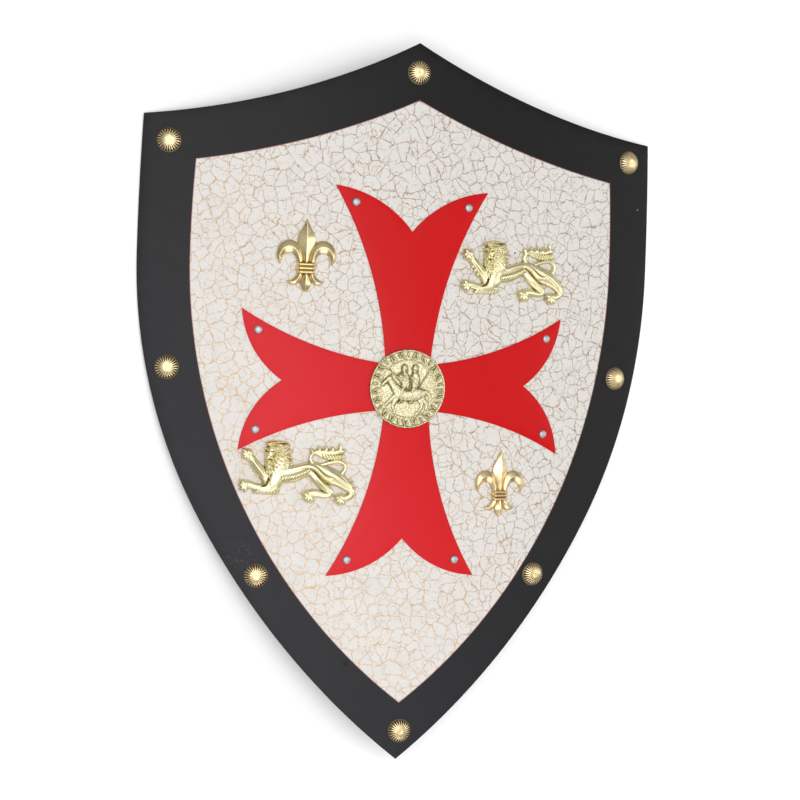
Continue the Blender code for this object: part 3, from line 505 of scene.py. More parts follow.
LION_BODY = (
    [(66, 31, 4.6, 4), (71, 28.6, 6, 4.6), (78, 24.8, 6.9, 5.6), (84.4, 22.2, 6.7, 5.4),
     (89.8, 18.4, 5.3, 5), (94, 14.6, 4.2, 4.4), (96.4, 11, 3.4, 4), (95.8, 7.6, 3, 3.6),
     (91.5, 5.6, 3.2, 3.8), (88.5, 5.2, 3.6, 4)],
    [(37, 24.6, 7.2, 5), (45, 25.4, 7.2, 5), (52, 27.8, 6.6, 4.8), (58, 30.2, 6, 4.8), (64, 30.8, 5.8, 5),
     (70, 28.5, 6.2, 5.2), (76, 25, 6.6, 5.4)],
    [(61.5, 27.5, 3.8, 3.4), (65.3, 23.2, 4.5, 4.8), (70, 18.2, 4.3, 5.2), (75, 13.8, 3.8, 4.8),
     (78.3, 10.8, 3.1, 4.2), (77, 8.3, 2.7, 3.8), (72, 8.4, 2.9, 3.8), (66, 9.6, 3.5, 4.2),
     (62, 9.2, 4, 4.4)],
    [(25.5, 18.5, 5.4, 4.8), (21, 25, 4.6, 4.8), (16, 31, 4, 4.4), (12, 36, 3.6, 4.2), (9, 39.6, 3.7, 4.4)],
    [(28, 14.8, 5.4, 5), (21.5, 13.2, 4.1, 4.6), (15.5, 14, 3.4, 4.2), (9.5, 15.8, 3.4, 4.2)],
    [(33.5, 25, 7, 5.4), (30.8, 19.6, 7, 6.3), (29, 16, 5.4, 5.6)],
    [(32, 46, 6.4, 4.4), (34.6, 40, 8.2, 4.6), (34.4, 32, 8.6, 4.8), (32, 26.5, 7, 4.8)],
    [(26, 38, 4.6, 4.4), (26, 32, 4.4, 4.2), (27.5, 27, 4.2, 4.4)],
)
LION_TAIL = (
    [(87, 25.5, 2.6, 3.4), (90.4, 30, 1.8, 3), (89.6, 34.8, 1.7, 3), (84.5, 37, 1.7, 3), (77, 35.8, 1.7, 3),
     (70, 34.1, 1.7, 3), (63.8, 34.7, 1.8, 3.2), (60.3, 38.2, 1.8, 3.2), (61.6, 42.4, 1.8, 3.2),
     (66, 44.8, 2, 3.4), (73, 44.4, 2.5, 3.6), (80, 44.4, 2.7, 3.6), (86.5, 45.8, 2.3, 3.4)],
    [(66, 43.4, 1.6, 3), (70, 42.2, 2.3, 3.2), (75, 41, 2.8, 3.5), (81, 40.4, 2.9, 3.6),
     (86.5, 40.8, 2.5, 3.4), (90, 41, 1.4, 2.4)],
)
LION_PAWS = ((7.4, 42.2, 205, 1.3), (6, 15.6, 200, 1.3), (60.5, 8, 232, 1.4), (87.6, 5.4, 232, 1.3))
TOE = ((0.8, 1.3, 5.6), (2.6, 1.7, 6), (3.9, 1.1, 4.4), (4.5, 0.6, 2.4))   # way out, radius, height
LION_SIZE = (100.0, 54.0)
LION_RELIEF = 0.75              # depth of the carving, as a share of the tables


def lion_paw(relief, x, y, aim, size):
    """A round palm with four fat toes and short claws, spread about the way the foot points."""
    relief.add([(x, y, 3.5 * size, 4.8), (x + 0.1, y, 3.5 * size, 4.8)])
    for toe in range(4):
        turn = math.radians(aim + 44 * (toe - 1.5))
        across, up = size * math.cos(turn), size * math.sin(turn)
        relief.add([(x + out * across, y + out * up, wide * size, high) for out, wide, high in TOE])


def lion_mane(relief):
    """Locks in rings round the face, the outermost first, so that they overlap like tiles."""
    for ring in reversed(range(4)):
        count = 7 + 2 * ring
        for k in range(count):
            turn = math.radians(50 - 160 * (k + 0.25 * (ring % 2)) / (count - 1))
            reach = 4.6 + 4.2 * ring if turn < 0 else 4.8 + 0.7 * ring
            x = 27.6 + (4.4 + 2.5 * ring) * math.cos(turn)
            y = 43 + reach * math.sin(turn)
            bend = 34 if k % 2 else -26
            relief.lock(x, y, 0.8 * math.degrees(turn) - 8, 6.4, bend, 1.95, 6.4 - 0.25 * ring, 3.6)
    for k in range(4):
        relief.lock(24 + 1.5 * k, 51.2 - 1.4 * k, 12 - 7 * k, 18 - 0.8 * k, -26 + 6 * k, 1.6, 6.2, 3)


def lion_face(relief):
    """A broad face turned half to the viewer, with a heavy muzzle."""
    relief.add([(27.4, 45, 5.2, 6.8), (26, 41.6, 4.4, 7.2)])
    relief.add([(25, 40, 3.3, 8.2), (24.4, 38.6, 2.9, 7.6)])
    relief.add([(26.2, 47.4, 1.8, 7.4), (25.2, 43.8, 1.6, 8.4), (24, 41.6, 1.7, 9)], 0.3)
    relief.add([(23.4, 46.4, 0.8, 7), (22.6, 47.2, 1, 7.2), (21.6, 45.6, 0.7, 6.4)])
    relief.add([(27.4, 46.8, 0.8, 7.4), (29.6, 47.6, 1.1, 7.8), (31.6, 45.8, 0.8, 6.8)])
    relief.add([(23.2, 39.8, 1.7, 8.6), (23, 39, 1.6, 8.2)])
    relief.add([(26.8, 39.8, 1.9, 8.6), (27.4, 39.2, 1.8, 8.2)])
    relief.cut([(22.4, 44.6, 0.6, 1.6), (23.6, 44.6, 0.6, 1.8)], 0.2)
    relief.cut([(27.2, 44.6, 0.8, 2), (29.4, 44.8, 0.6, 1.6)], 0.2)
    relief.cut([(21.8, 37.6, 0.4, 1), (24.6, 38, 0.8, 2.4), (28, 37.4, 0.4, 1)], 0.3)


def lion(points):
    relief = Relief(points)
    for stroke in LION_TAIL + LION_BODY:
        relief.add(stroke)
    for rib in range(10):
        x, y = 36 + 2.35 * rib, 19 + 0.25 * rib + 0.055 * rib**2
        relief.raise_on([(x, y, 0.8, 0.6), (x + 0.9, y + 2.6, 1.15, 2.4), (x + 2.5, y + 6, 0.8, 0.3)])
    # Loin and thigh, and the creases beside them
    relief.raise_on([(43, 29.5, 1.4, 0.4), (50, 31.6, 1.9, 1.4), (58, 33.2, 2, 1.8), (63.5, 31.6, 2.1, 2),
                     (68, 27, 2.2, 2), (72.5, 23, 2, 1.6), (78, 21.2, 1.5, 0.4)], 0.3)
    relief.cut([(60, 30.5, 0.6, 0.6), (64.5, 27.6, 0.9, 2), (69, 22.6, 0.9, 2), (73.5, 18.8, 0.9, 1.8),
                (79, 15.6, 0.6, 0.6)])
    relief.cut([(66, 32.6, 0.5, 0.6), (71, 27.6, 0.8, 1.8), (76, 24.2, 0.8, 1.4), (81, 23, 0.5, 0.4)])
    # Muscles along the hind legs and the raised foreleg, and the crease between the forelegs
    relief.raise_on([(76, 28, 2, 0.4), (82, 24.4, 2.6, 1.6), (88.5, 19.6, 2, 1.2),
                     (93.5, 15, 1.4, 0.4)], 0.2)
    relief.raise_on([(66.5, 22.5, 1.4, 0.4), (71, 17.8, 1.8, 1.4), (76.5, 12.8, 1.2, 0.4)], 0.3)
    relief.raise_on([(21.5, 23.8, 1.3, 0.4), (16.4, 30.6, 1.5, 1.4), (11.6, 36.6, 1.1, 0.4)], 0.3)
    relief.cut([(27.5, 27, 0.5, 1.5), (25.4, 21.5, 1.1, 4.6), (23, 16.2, 1, 4), (19, 14.4, 0.5, 1)], 0.3)
    # Hair along the lower foreleg, on the raised one, at the hock and on the tail
    for tuft in range(8):
        relief.lock(16.5 + 2.4 * tuft, 12 + 0.1 * tuft, 232 + 5 * tuft, 5, -34, 2.2, 4.6, 1.8)
    for x, y, aim in ((13.4, 33.4, 215), (15.4, 30, 215), (17.8, 26.8, 220)):
        relief.lock(x, y, aim, 4.6, 30, 2, 4, 1.6)
    for x, y, aim in ((95, 17.4, 30), (97, 13.6, 5), (97, 9, -12)):
        relief.lock(x, y, aim, 4, 24, 1.9, 4, 1.6)
    for x, y, aim in ((62.4, 43.6, 100), (67, 45.4, 60), (72.4, 45.6, 50), (77.8, 45.4, 46)):
        relief.lock(x, y, aim, 4.6, 70, 2.4, 4, 2)
    relief.lock(84, 45.6, 46, 7.6, 100, 2.3, 4, 2)
    relief.lock(88, 46, 4, 3.4, 40, 1.8, 3.4, 1.8)
    for twist in range(8):
        x = 70 + 2.5 * twist
        relief.cut([(x, 43, 0.4, 0.6), (x + 1.4, 40.6, 0.6, 1.7), (x + 2.4, 38.2, 0.4, 0.6)], 0.3)
    for paw in LION_PAWS:
        lion_paw(relief, *paw)
    lion_mane(relief)
    lion_face(relief)
    relief.height *= LION_RELIEF
    return relief


# Fleur-de-lis, on a grid of 100 units to its height, standing on y = 0

FLEUR_TOP = [(0, 99.2, 0.8, 2.5), (0, 92, 4, 5.5), (0, 80.5, 9, 9), (0, 71, 12.8, 11), (0, 61, 10, 10),
             (0, 50, 6.3, 8), (0, 40, 5, 7)]
FLEUR_SIDE = [(7.5, 36, 4.4, 6.5), (9.6, 47, 5.4, 7.5), (14.2, 57, 7.4, 8.5), (22.5, 61.8, 9.2, 9.5),
              (31, 58.8, 7.8, 9), (36.2, 50.5, 5.2, 7.5), (36.6, 43, 3, 5), (35.2, 37.8, 0.8, 2.5)]
FLEUR_FOOT = [(6.5, 30, 4.6, 7), (9.6, 20, 4.9, 7), (14.5, 14.6, 4.9, 6.4), (20.5, 13.2, 3, 4.5),
              (25.5, 14.6, 0.8, 2.2)]
FLEUR_BOTTOM = [(0, 30, 4, 7.5), (0, 20, 5.6, 8.4), (0, 12.6, 8, 9), (0, 6, 5, 6.5), (0, 0.8, 0.8, 2.5)]
FLEUR_BAND_RINGS = (38.0, 32.6, 27.2)
FLEUR_SIZE = (84.0, 100.0)
FLEUR_RELIEF = 0.62


def fleur(points):
    relief = Relief(points)
    for side in (-1, 1):
        relief.add(np.array(FLEUR_SIDE) * [side, 1, 1, 1], 0.75)
        relief.add(np.array(FLEUR_FOOT) * [side, 1, 1, 1], 0.7)
    relief.add(FLEUR_TOP, 0.95)
    relief.add(FLEUR_BOTTOM, 0.9)
    relief.add([(-6.5, 33, 7.6, 8), (6.5, 33, 7.6, 8)], 0.2)
    for y in FLEUR_BAND_RINGS:
        relief.add([(-10, y, 2.8, 9.5), (-7.6, y, 3, 11.5), (7.6, y, 3, 11.5), (10, y, 2.8, 9.5)], 0.1)
    relief.height *= FLEUR_RELIEF
    return relief


# Medallion, on a grid of 100 units to its radius

MEDALLION_SIZE = (200.0, 200.0)
STROKE_COUNT = 44
HORSE = (
    [(34, -6, 5, 3), (46, -8, 4, 3.2), (52, -22, 3.6, 3), (50, -40, 1.2, 2)],
    [(-20, -12, 12, 7), (0, -15, 12, 7.4), (22, -12, 13.5, 7.6), (30, -10, 11, 6.6)],
    [(-22, -6, 11, 6.6), (-34, 8, 8, 6.4), (-42, 20, 6.4, 6.4)],
    [(-42, 22, 6, 6.8), (-52, 14, 4.4, 6.4), (-58, 8, 3.6, 6)],
    [(-40, 27, 1.6, 6), (-38, 33, 0.7, 3)],
)
HORSE_LEGS = ((24, (33, -36), (25, -50), (20, -56)), (30, (44, -34), (40, -48), (36, -57)),
              (-22, (-33, -38), (-28, -50), (-34, -56)), (-26, (-46, -32), (-52, -44), (-57, -44)))
SHIELDS = (
    [(8, 26, 4, 8.4), (14, 20, 7.6, 9.6), (17, 8, 5.6, 9.2), (18, -3, 1, 6)],
    [(-24, 26, 1.2, 4), (-18, 27, 7, 9.6), (-10, 24, 9.6, 10.4), (-4, 12, 8, 10), (0, -2, 1.2, 6)],
)
LANCES = (
    [(-52, 50, 0.9, 4), (-30, 30, 1.3, 5), (-6, 6, 1.2, 5)],
    [(50, 44, 0.9, 4), (38, 24, 1.3, 5), (26, 4, 1.2, 5)],
)
RIDERS_SCALE = 1.16


def riders(points):
    """Two helmeted riders with long shields on one horse. The helmets hide their faces."""
    relief = Relief(points)
    for hip, knee, foot, hoof in HORSE_LEGS:
        relief.add([(hip, -16, 7, 4), (*knee, 3.6, 3.6), (*foot, 2.8, 3.2), (*hoof, 3.4, 3.4)], 0.2)
    for stroke in HORSE:
        relief.add(stroke)
    for x in (16, -8):
        relief.add([(x, 8, 8, 7.4), (x + 1, 22, 8.6, 7.8), (x, 30, 7, 7.2)])
        relief.add([(x - 4, 0, 5, 8.4), (x - 9, -14, 4.2, 9), (x - 7, -26, 3.4, 8.2),
                    (x - 12, -30, 2.6, 7.4)], 0.2)
        relief.add([(x - 1, 41, 7.2, 7.6), (x - 1, 45, 6.6, 8.4), (x - 1, 50, 4.2, 7)], 0.15)
        relief.raise_on([(x - 8.5, 41.5, 1.4, 1.4), (x + 6.5, 41.5, 1.4, 1.4)])
    for stroke in SHIELDS:
        relief.add(stroke, 0.45)
    for stroke in LANCES:
        relief.add(stroke)
    return relief


def medallion(points):
    relief = Relief(points)
    radius = np.hypot(*points.T)
    relief.inside = 100 - radius
    relief.height = 1 + 2.6 * np.sqrt(np.clip(1 - np.abs(radius - 97.2) / 2.8, 0, 1))
    relief.height += 1.8 * np.sqrt(np.clip(1 - ((radius - 72.5) / 1.5)**2, 0, 1))
    for k in range(STROKE_COUNT):
        turn = 2 * math.pi * k / STROKE_COUNT
        low, high, lean = 78 + k * 3 % 5, 93 - k * 5 % 4, 0.03 * (k * 7 % 5 - 1)
        relief.raise_on([(low * math.cos(turn), low * math.sin(turn), 2.4, 4),
                         (high * math.cos(turn + lean), high * math.sin(turn + lean), 2.4, 4)])
    relief.height += 0.8 * riders(points / RIDERS_SCALE).height * (radius < 71)
    return relief


# Fine castings

FORM_MIDDLES = {lion: (50.0, 26.8), fleur: (0.0, 50.0), medallion: (0.0, 0.0)}
EDGE_ROLL = 0.0009              # width of the round edge of a casting
CAVITY_REACH = 0.0016           # how far round a point a hollow is judged
CAVITY_DEPTH = 0.0009           # depth of a hollow whose painted shade is full
CASTING_MARGIN = 0.06           # of the grid round a casting, as a share of its longer side


def blurred(heights, reach):
    """Heights on a grid, averaged over a square of this many points each way, twice."""
    for axis in (0, 1, 0, 1):
        padded = np.concatenate([np.repeat(heights.take([0], axis), reach + 1, axis), heights,
                                 np.repeat(heights.take([-1], axis), reach, axis)], axis)
        total = np.cumsum(padded, axis)
        width = 2 * reach + 1
        count = heights.shape[axis]
        heights = (total.take(range(width, width + count), axis) - total.take(range(count), axis)) / width
    return heights


def casting_mesh(name, form, size, unit, turn):
    """The flat casting: its relief cut off at the outline, walls and a back, centred and turned."""
    width, height = size[0] * unit, size[1] * unit
    margin = CASTING_MARGIN * max(width, height)
    half = np.array([width / 2 + margin, height / 2 + margin])
    columns, rows = (round(2 * reach / CASTING_SPACING) for reach in half)
    shape = bmesh.new()
    bmesh.ops.create_grid(shape, x_segments=columns, y_segments=rows, size=1.0)
    mesh = bpy.data.meshes.new(name)
    shape.to_mesh(mesh)
    middle = np.array(FORM_MIDDLES[form])
    places = coordinates(mesh)
    places[:, :2] *= half
    relief = form(places[:, :2] / unit + middle)
    places[:, 2] = relief.inside
    set_coordinates(mesh, places)
    order = np.lexsort([np.round(places[:, axis] / CASTING_SPACING, 2) for axis in (0, 1)])
    heights = np.where(relief.inside > 0, relief.height * unit, -CASTING_EDGE)[order]
    heights = heights.reshape(rows + 1, columns + 1)
    # how hollow each point lies, for the painted shade in the hollows of the gilt
    around = blurred(heights, round(CAVITY_REACH / CASTING_SPACING))
    hollows = np.clip((around - heights) / CAVITY_DEPTH, -1, 1)

    shape.clear()
    shape.from_mesh(mesh)
    everything = shape.verts[:] + shape.edges[:] + shape.faces[:]
    bmesh.ops.bisect_plane(shape, geom=everything, dist=1e-4, plane_co=(0, 0, 0), plane_no=(0, 0, 1),
                           clear_inner=True)
    bmesh.ops.remove_doubles(shape, verts=shape.verts, dist=2e-5)
    shape.to_mesh(mesh)
    places = coordinates(mesh)
    relief = form(places[:, :2] / unit + middle)
    roll = np.clip(relief.inside * unit / EDGE_ROLL, 0, 1)
    places[:, 2] = CASTING_EDGE * np.sqrt(1 - (1 - roll)**2 * 0.9) + relief.height * unit
    set_coordinates(mesh, places)
    counts = np.array([columns, rows])
    column, row = np.clip(np.round((places[:, :2] + half) / (2 * half) * counts), 0, counts).astype(int).T
    cavity_shade = hollows[row, column]

    shape.clear()
    shape.from_mesh(mesh)
    rim = [edge for edge in shape.edges if edge.is_boundary]
    walls = bmesh.ops.extrude_edge_only(shape, edges=rim)["geom"]
    for vert in [item for item in walls if isinstance(item, bmesh.types.BMVert)]:
        vert.co.z = 0.0
    back = [edge for edge in walls if isinstance(edge, bmesh.types.BMEdge) and edge.is_boundary]
    bmesh.ops.triangle_fill(shape, edges=back, use_beauty=False)
    bmesh.ops.recalc_face_normals(shape, faces=shape.faces)
    turned = Matrix.Rotation(math.radians(turn), 3, "Z")
    bmesh.ops.rotate(shape, verts=shape.verts, cent=(0, 0, 0), matrix=turned)
    shape.to_mesh(mesh)
    shape.free()
    places = coordinates(mesh)
    places[:, :2] -= (places[:, :2].min(0) + places[:, :2].max(0)) / 2
    set_coordinates(mesh, places)
    set_attribute(mesh, "cavity_shade", np.concatenate([cavity_shade, np.zeros(len(places) - len(cavity_shade))]))
    return mesh


def casting(node, form, size, unit, turn, back_radius, finish):
    """Bends a casting to the face, with its middle over the middle of its solid."""
    low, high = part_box(node)
    lean = math.asin((low.x + high.x) / 2 / FACE_RADIUS)
    up = (low.y + high.y) / 2
    mesh = casting_mesh(f"gilt_{node}", form, size, unit, turn)
    places = coordinates(mesh)
    angle = lean + places[:, 0] / FACE_RADIUS
    reach = back_radius + SEAT + places[:, 2]
    bent = [reach * np.sin(angle), up + places[:, 1], AXIS_HEIGHT + reach * np.cos(angle)]
    set_coordinates(mesh, np.column_stack(bent))
    shade(mesh, 60)
    dress(add_object(f"gilt_{node}", mesh, finish), node)


# Finishes

class Finish:
    """A material made by short calls. A call gives an output, which the next call can use as a value."""

    def __init__(self, name, colour, roughness, metallic=0.0, specular=0.5):
        self.material = bpy.data.materials.new(name)
        self.material.use_nodes = True
        self.tree = self.material.node_tree
        self.shader = self.tree.nodes["Principled BSDF"]
        plain = {"Base Color": (*colour, 1.0), "Roughness": roughness, "Metallic": metallic,
                 "Specular IOR Level": specular}
        for socket, value in plain.items():
            self.shader.inputs[socket].default_value = value
        self.place = self.tree.nodes.new("ShaderNodeTexCoord").outputs["Object"]

    def node(self, kind, inputs, output, **settings):
        made = self.tree.nodes.new(kind)
        for key, value in settings.items():
            setattr(made, key, value)
        for key, value in inputs.items():
            if isinstance(value, bpy.types.NodeSocket):
                self.tree.links.new(value, made.inputs[key])
            else:
                made.inputs[key].default_value = value
        return made.outputs[output]

    def math(self, operation, *values):
        return self.node("ShaderNodeMath", dict(enumerate(values)), 0, operation=operation)

    def times(self, first, second):
        return self.math("MULTIPLY", first, second)

    def vector(self, operation, a, b, output="Vector"):
        return self.node("ShaderNodeVectorMath", {0: a, 1: b}, output, operation=operation)

    def step(self, value, low, high):
        """0 below low, 1 above high, and smooth between."""
        return self.node("ShaderNodeMapRange", {"Value": value, "From Min": low, "From Max": high}, "Result",
                         interpolation_type="SMOOTHSTEP")

    def spread(self, value, low, high):
        """A value between 0 and 1, moved to lie between low and high."""
        return self.node("ShaderNodeMapRange", {"Value": value, "To Min": low, "To Max": high}, "Result")

    def mix(self, factor, first, second):
        """The first colour where the factor is 0, and the second where it is 1."""
        inputs = {0: factor}
        for socket, value in ((6, first), (7, second)):
            inputs[socket] = value if isinstance(value, bpy.types.NodeSocket) else (*value, 1.0)
        return self.node("ShaderNodeMix", inputs, 2, data_type="RGBA")

    def noise(self, scale, detail=2.0, output="Fac", place=None):
        inputs = {"Vector": place or self.place, "Scale": scale, "Detail": detail}
        return self.node("ShaderNodeTexNoise", inputs, output)

    def attribute(self, name):
        return self.node("ShaderNodeAttribute", {}, "Fac", attribute_name=name)

    def set(self, socket, value):
        self.tree.links.new(value, self.shader.inputs[socket])

    def bump(self, height, distance, strength=0.5):
        inputs = {"Height": height, "Distance": distance, "Strength": strength}
        self.set("Normal", self.node("ShaderNodeBump", inputs, "Normal"))

    def plan(self):
        return (self.node("ShaderNodeSeparateXYZ", {0: self.place}, axis) for axis in "XY")

    def inside_field(self):
        """Distance inside the ivory field's outline, in metres."""
        x, y = self.plan()
        aside = self.math("ABSOLUTE", self.math("SUBTRACT", x, FIELD_ACROSS))
        spot = self.node("ShaderNodeCombineXYZ", {"X": aside, "Y": y}, "Vector")
        top = arc_centre(FIELD_CORNER, FIELD_TOP, FIELD_TOP_RADIUS)
        side = arc_centre(FIELD_CORNER, FIELD_WIDEST, FIELD_SIDE_RADIUS)
        flank = arc_centre(FIELD_WIDEST, FIELD_TIP, FIELD_FLANK_RADIUS)
        below = self.math("SUBTRACT", self.vector("DISTANCE", spot, (*top, 0.0), "Value"), FIELD_TOP_RADIUS)
        upper, lower = (self.math("SUBTRACT", radius, self.vector("DISTANCE", spot, (*centre, 0.0), "Value"))
                        for centre, radius in ((side, FIELD_SIDE_RADIUS), (flank, FIELD_FLANK_RADIUS)))
        is_upper = self.math("GREATER_THAN", y, FIELD_WIDEST[1])
        is_lower = self.math("SUBTRACT", 1.0, is_upper)
        beside = self.math("ADD", self.times(is_upper, upper), self.times(is_lower, lower))
        return self.math("MINIMUM", below, beside)

    def across_face(self, up_share, low, high):
        """0 low on the left of the shield, 1 high on the right, and smooth between."""
        x, y = self.plan()
        return self.step(self.math("ADD", x, self.times(y, up_share)), low, high)

    def is_face(self):
        """1 on the outer side of the bent board, 0 on its back."""
        flat = self.vector("MULTIPLY", self.place, (1.0, 0.0, 1.0))
        reach = self.vector("DISTANCE", flat, (0.0, 0.0, AXIS_HEIGHT), "Value")
        return self.math("GREATER_THAN", reach, (SHEET_FACE + SHEET_BACK) / 2)

    def spot(self, x, y, radius):
        """1 in a small round spot on the face."""
        flat = self.vector("MULTIPLY", self.place, (1.0, 1.0, 0.0))
        away = self.vector("DISTANCE", flat, (x, y, 0.0), "Value")
        return self.step(away, radius, 0.5 * radius)

    def cracks(self, cell, half_width, warp, seed):
        """Lines between random cells of about this size, which wander and change in width."""
        moved = self.vector("ADD", self.place, (seed, 0.37 * seed, 0.0))
        bent = moved
        for pace, reach in ((0.7, 1.5), (4.2, 0.42)):
            sway = self.vector("SUBTRACT", self.noise(pace / cell, 2.0, "Color", moved), (0.5, 0.5, 0.5))
            bent = self.vector("ADD", bent, self.vector("MULTIPLY", sway, [reach * warp * cell] * 3))
        away = self.node("ShaderNodeTexVoronoi", {"Vector": bent, "Scale": 1 / cell}, "Distance",
                         feature="DISTANCE_TO_EDGE", voronoi_dimensions="2D")
        width = self.times(self.noise(2.2 / cell, 2.0, place=moved), 2.6 * half_width / cell)
        return self.math("SUBTRACT", 1.0, self.step(self.math("DIVIDE", away, width), 0.3, 1.0))

    def broken_cracks(self, lines, gaps):
        """Cracks with gaps: a noise's scale and detail, and the range where the cracks fade in."""
        scale, detail, low, high = gaps
        return self.times(self.cracks(*lines), self.step(self.noise(scale, detail), low, high))


# Ivory lit on the lower left and shaded towards the upper right: painted light
IVORY_LIT_LEFT = (0.665, 0.640, 0.612)
IVORY_SHADED_RIGHT = (0.612, 0.592, 0.560)
IVORY_STAIN = (0.585, 0.560, 0.520)
TAN = (0.62, 0.400, 0.210)
UMBER = (0.32, 0.215, 0.135)
FINE_CRACK = (0.42, 0.375, 0.335)
RED_UNDERCOAT = (0.11, 0.008, 0.012)
BLACK = (0.012, 0.012, 0.013)   # on the whole
# Black lit on the left and shaded on the right: painted light
BLACK_LIT_LEFT = (0.026, 0.026, 0.029)
BLACK_SHADED_RIGHT = (0.005, 0.005, 0.005)
BLACK_PATCHES = (0.013, 0.013, 0.014)
RED = (0.52, 0.004, 0.006)
# Red with a painted sheen on the lower left and painted shade on the upper right
RED_SHEEN_LEFT = (0.59, 0.020, 0.027)
RED_SHADED_RIGHT = (0.49, 0.002, 0.003)

# Layers of cracks: cell size, half width, wander and seed, then the gaps in them
WIDE_CRACKS = (0.0125, 0.00046, 0.66, 0.0), (70.0, 2.0, 0.30, 0.42)
SECOND_CRACKS = (0.0080, 0.00034, 0.75, 3.1), (110.0, 1.0, 0.42, 0.54)
FINE_CRACKS = (0.0046, 0.00022, 0.8, 7.7), (150.0, 1.0, 0.50, 0.64)
CRACK_DEPTH = 0.00010

# Small damages of the paint: across, up and radius, and then their colour
BLACK_SPECK = (0.1110, 0.1562, 0.0013), (0.02, 0.018, 0.018)
LIGHT_SPECK = (0.2576, 0.2087, 0.0010), (0.25, 0.25, 0.25)
SCUFFS = (-0.1640, -0.1560, 0.022), (0.05, 0.05, 0.052)
CREASE = (-0.0555, -0.2622, 0.0035), (0.004, 0.004, 0.004)


def field_finish():
    """Ivory crackle paint: jagged cells and finer cracks that die out. Painted light makes the ivory lighter
    on the lower left and darker towards the upper right; the cracks are tan on the lower left and darker
    umber towards the upper right.
    """
    paint = Finish("crackled ivory paint", IVORY_LIT_LEFT, 0.5, specular=0.25)
    # painted light: the ivory between the cracks is lighter on the lower left and darker towards the upper
    # right
    flakes = paint.mix(paint.across_face(0.5, -0.2, 0.2), IVORY_LIT_LEFT, IVORY_SHADED_RIGHT)
    stains = paint.times(paint.step(paint.noise(45.0, 3.0), 0.4, 0.7), 0.35)
    flakes = paint.mix(stains, flakes, IVORY_STAIN)
    base = paint.mix(paint.across_face(0.6, -0.25, 0.15), TAN, UMBER)
    wide = paint.broken_cracks(*WIDE_CRACKS)
    second = paint.broken_cracks(*SECOND_CRACKS)
    fine = paint.broken_cracks(*FINE_CRACKS)
    colour = paint.mix(paint.times(fine, 0.5), flakes, FINE_CRACK)
    colour = paint.mix(paint.times(second, 0.7), colour, base)
    colour = paint.mix(paint.times(wide, 0.9), colour, base)
    edge = paint.step(paint.inside_field(), 0.0012, 0.0)
    colour = paint.mix(paint.times(edge, 0.55), colour, RED_UNDERCOAT)
    speck, speck_colour = BLACK_SPECK
    paint.set("Base Color", paint.mix(paint.spot(*speck), colour, speck_colour))
    deep = paint.math("MAXIMUM", wide, paint.times(second, 0.6))
    paint.bump(paint.math("SUBTRACT", 1.0, deep), CRACK_DEPTH)
    return paint.material


def black_finish():
    """Satin black, with painted light: lighter on the lower left and darker towards the upper right. On the
    face it has a red line of undercoat beside the field, and small damages.
    """
    paint = Finish("satin black paint", BLACK, 0.46, specular=0.15)
    # painted light: the black is lighter on the lower left and darker towards the upper right
    plain = paint.mix(paint.across_face(0.8, -0.4, 0.3), BLACK_LIT_LEFT, BLACK_SHADED_RIGHT)
    plain = paint.mix(paint.times(paint.noise(14.0, 3.0), 0.3), plain, BLACK_PATCHES)
    scratches = paint.step(paint.noise(260.0, 3.0), 0.5, 0.7)
    colour = plain
    damages = (SCUFFS, paint.times(scratches, 0.6)), (LIGHT_SPECK, 1.0), (CREASE, 0.5)
    for (spot, spot_colour), strength in damages:
        colour = paint.mix(paint.times(paint.spot(*spot), strength), colour, spot_colour)
    line = paint.step(paint.inside_field(), -RED_LINE, -0.5 * RED_LINE)
    ragged = paint.step(paint.noise(300.0, 2.0), 0.25, 0.6)
    colour = paint.mix(paint.times(line, ragged), colour, RED_UNDERCOAT)
    paint.set("Base Color", paint.mix(paint.is_face(), plain, colour))
    paint.set("Roughness", paint.spread(paint.noise(60.0, 4.0), 0.40, 0.52))
    paint.bump(paint.noise(700.0, 2.0), 0.00003)
    return paint.material


def red_finish():
    """Satin red with painted light: a painted sheen makes it lighter towards the lower left, and painted
    shade makes it deeper towards the upper right; with a fine orange peel.
    """
    paint = Finish("satin red paint", RED, 0.42, specular=0.13)
    # painted sheen on the lower left and painted shade towards the upper right
    paint.set("Base Color", paint.mix(paint.across_face(0.6, -0.2, 0.12), RED_SHEEN_LEFT, RED_SHADED_RIGHT))
    paint.bump(paint.noise(650.0, 2.0), 0.00002)
    return paint.material


RIVET_METAL = (0.48, 0.47, 0.48)
RIVET_GREY = (0.38, 0.37, 0.38)
RIVET_BRIGHT = (0.52, 0.51, 0.53)
STUD_METAL = (0.84, 0.72, 0.42)
STUD_GOLD = (0.86, 0.75, 0.43)
STUD_COPPER = (0.80, 0.57, 0.36)
# Dark brown of the painted shade in the flutes, at the brim and in the dimple ring
STUD_SHADE_BROWN = (0.060, 0.030, 0.010)

# Gilt of the castings: its colour, the worn colour and the colour of the painted shade in the hollows
PALE_GILT = (0.79, 0.73, 0.47), (0.75, 0.68, 0.41), (0.40, 0.33, 0.14)
GOLDEN_GILT = (0.78, 0.65, 0.38), (0.74, 0.60, 0.33), (0.34, 0.25, 0.09)
WARM_GILT = (0.84, 0.67, 0.40), (0.80, 0.61, 0.35), (0.38, 0.25, 0.10)
CAST_GILT = (0.72, 0.67, 0.46), (0.42, 0.38, 0.21), (0.20, 0.165, 0.07)


def rivet_finish():
    metal = Finish("bright rivet metal", RIVET_METAL, 0.5, 1.0)
    metal.set("Base Color", metal.mix(metal.noise(900.0, 3.0), RIVET_GREY, RIVET_BRIGHT))
    metal.bump(metal.noise(1400.0, 3.0), 0.00003, 0.4)
    return metal.material


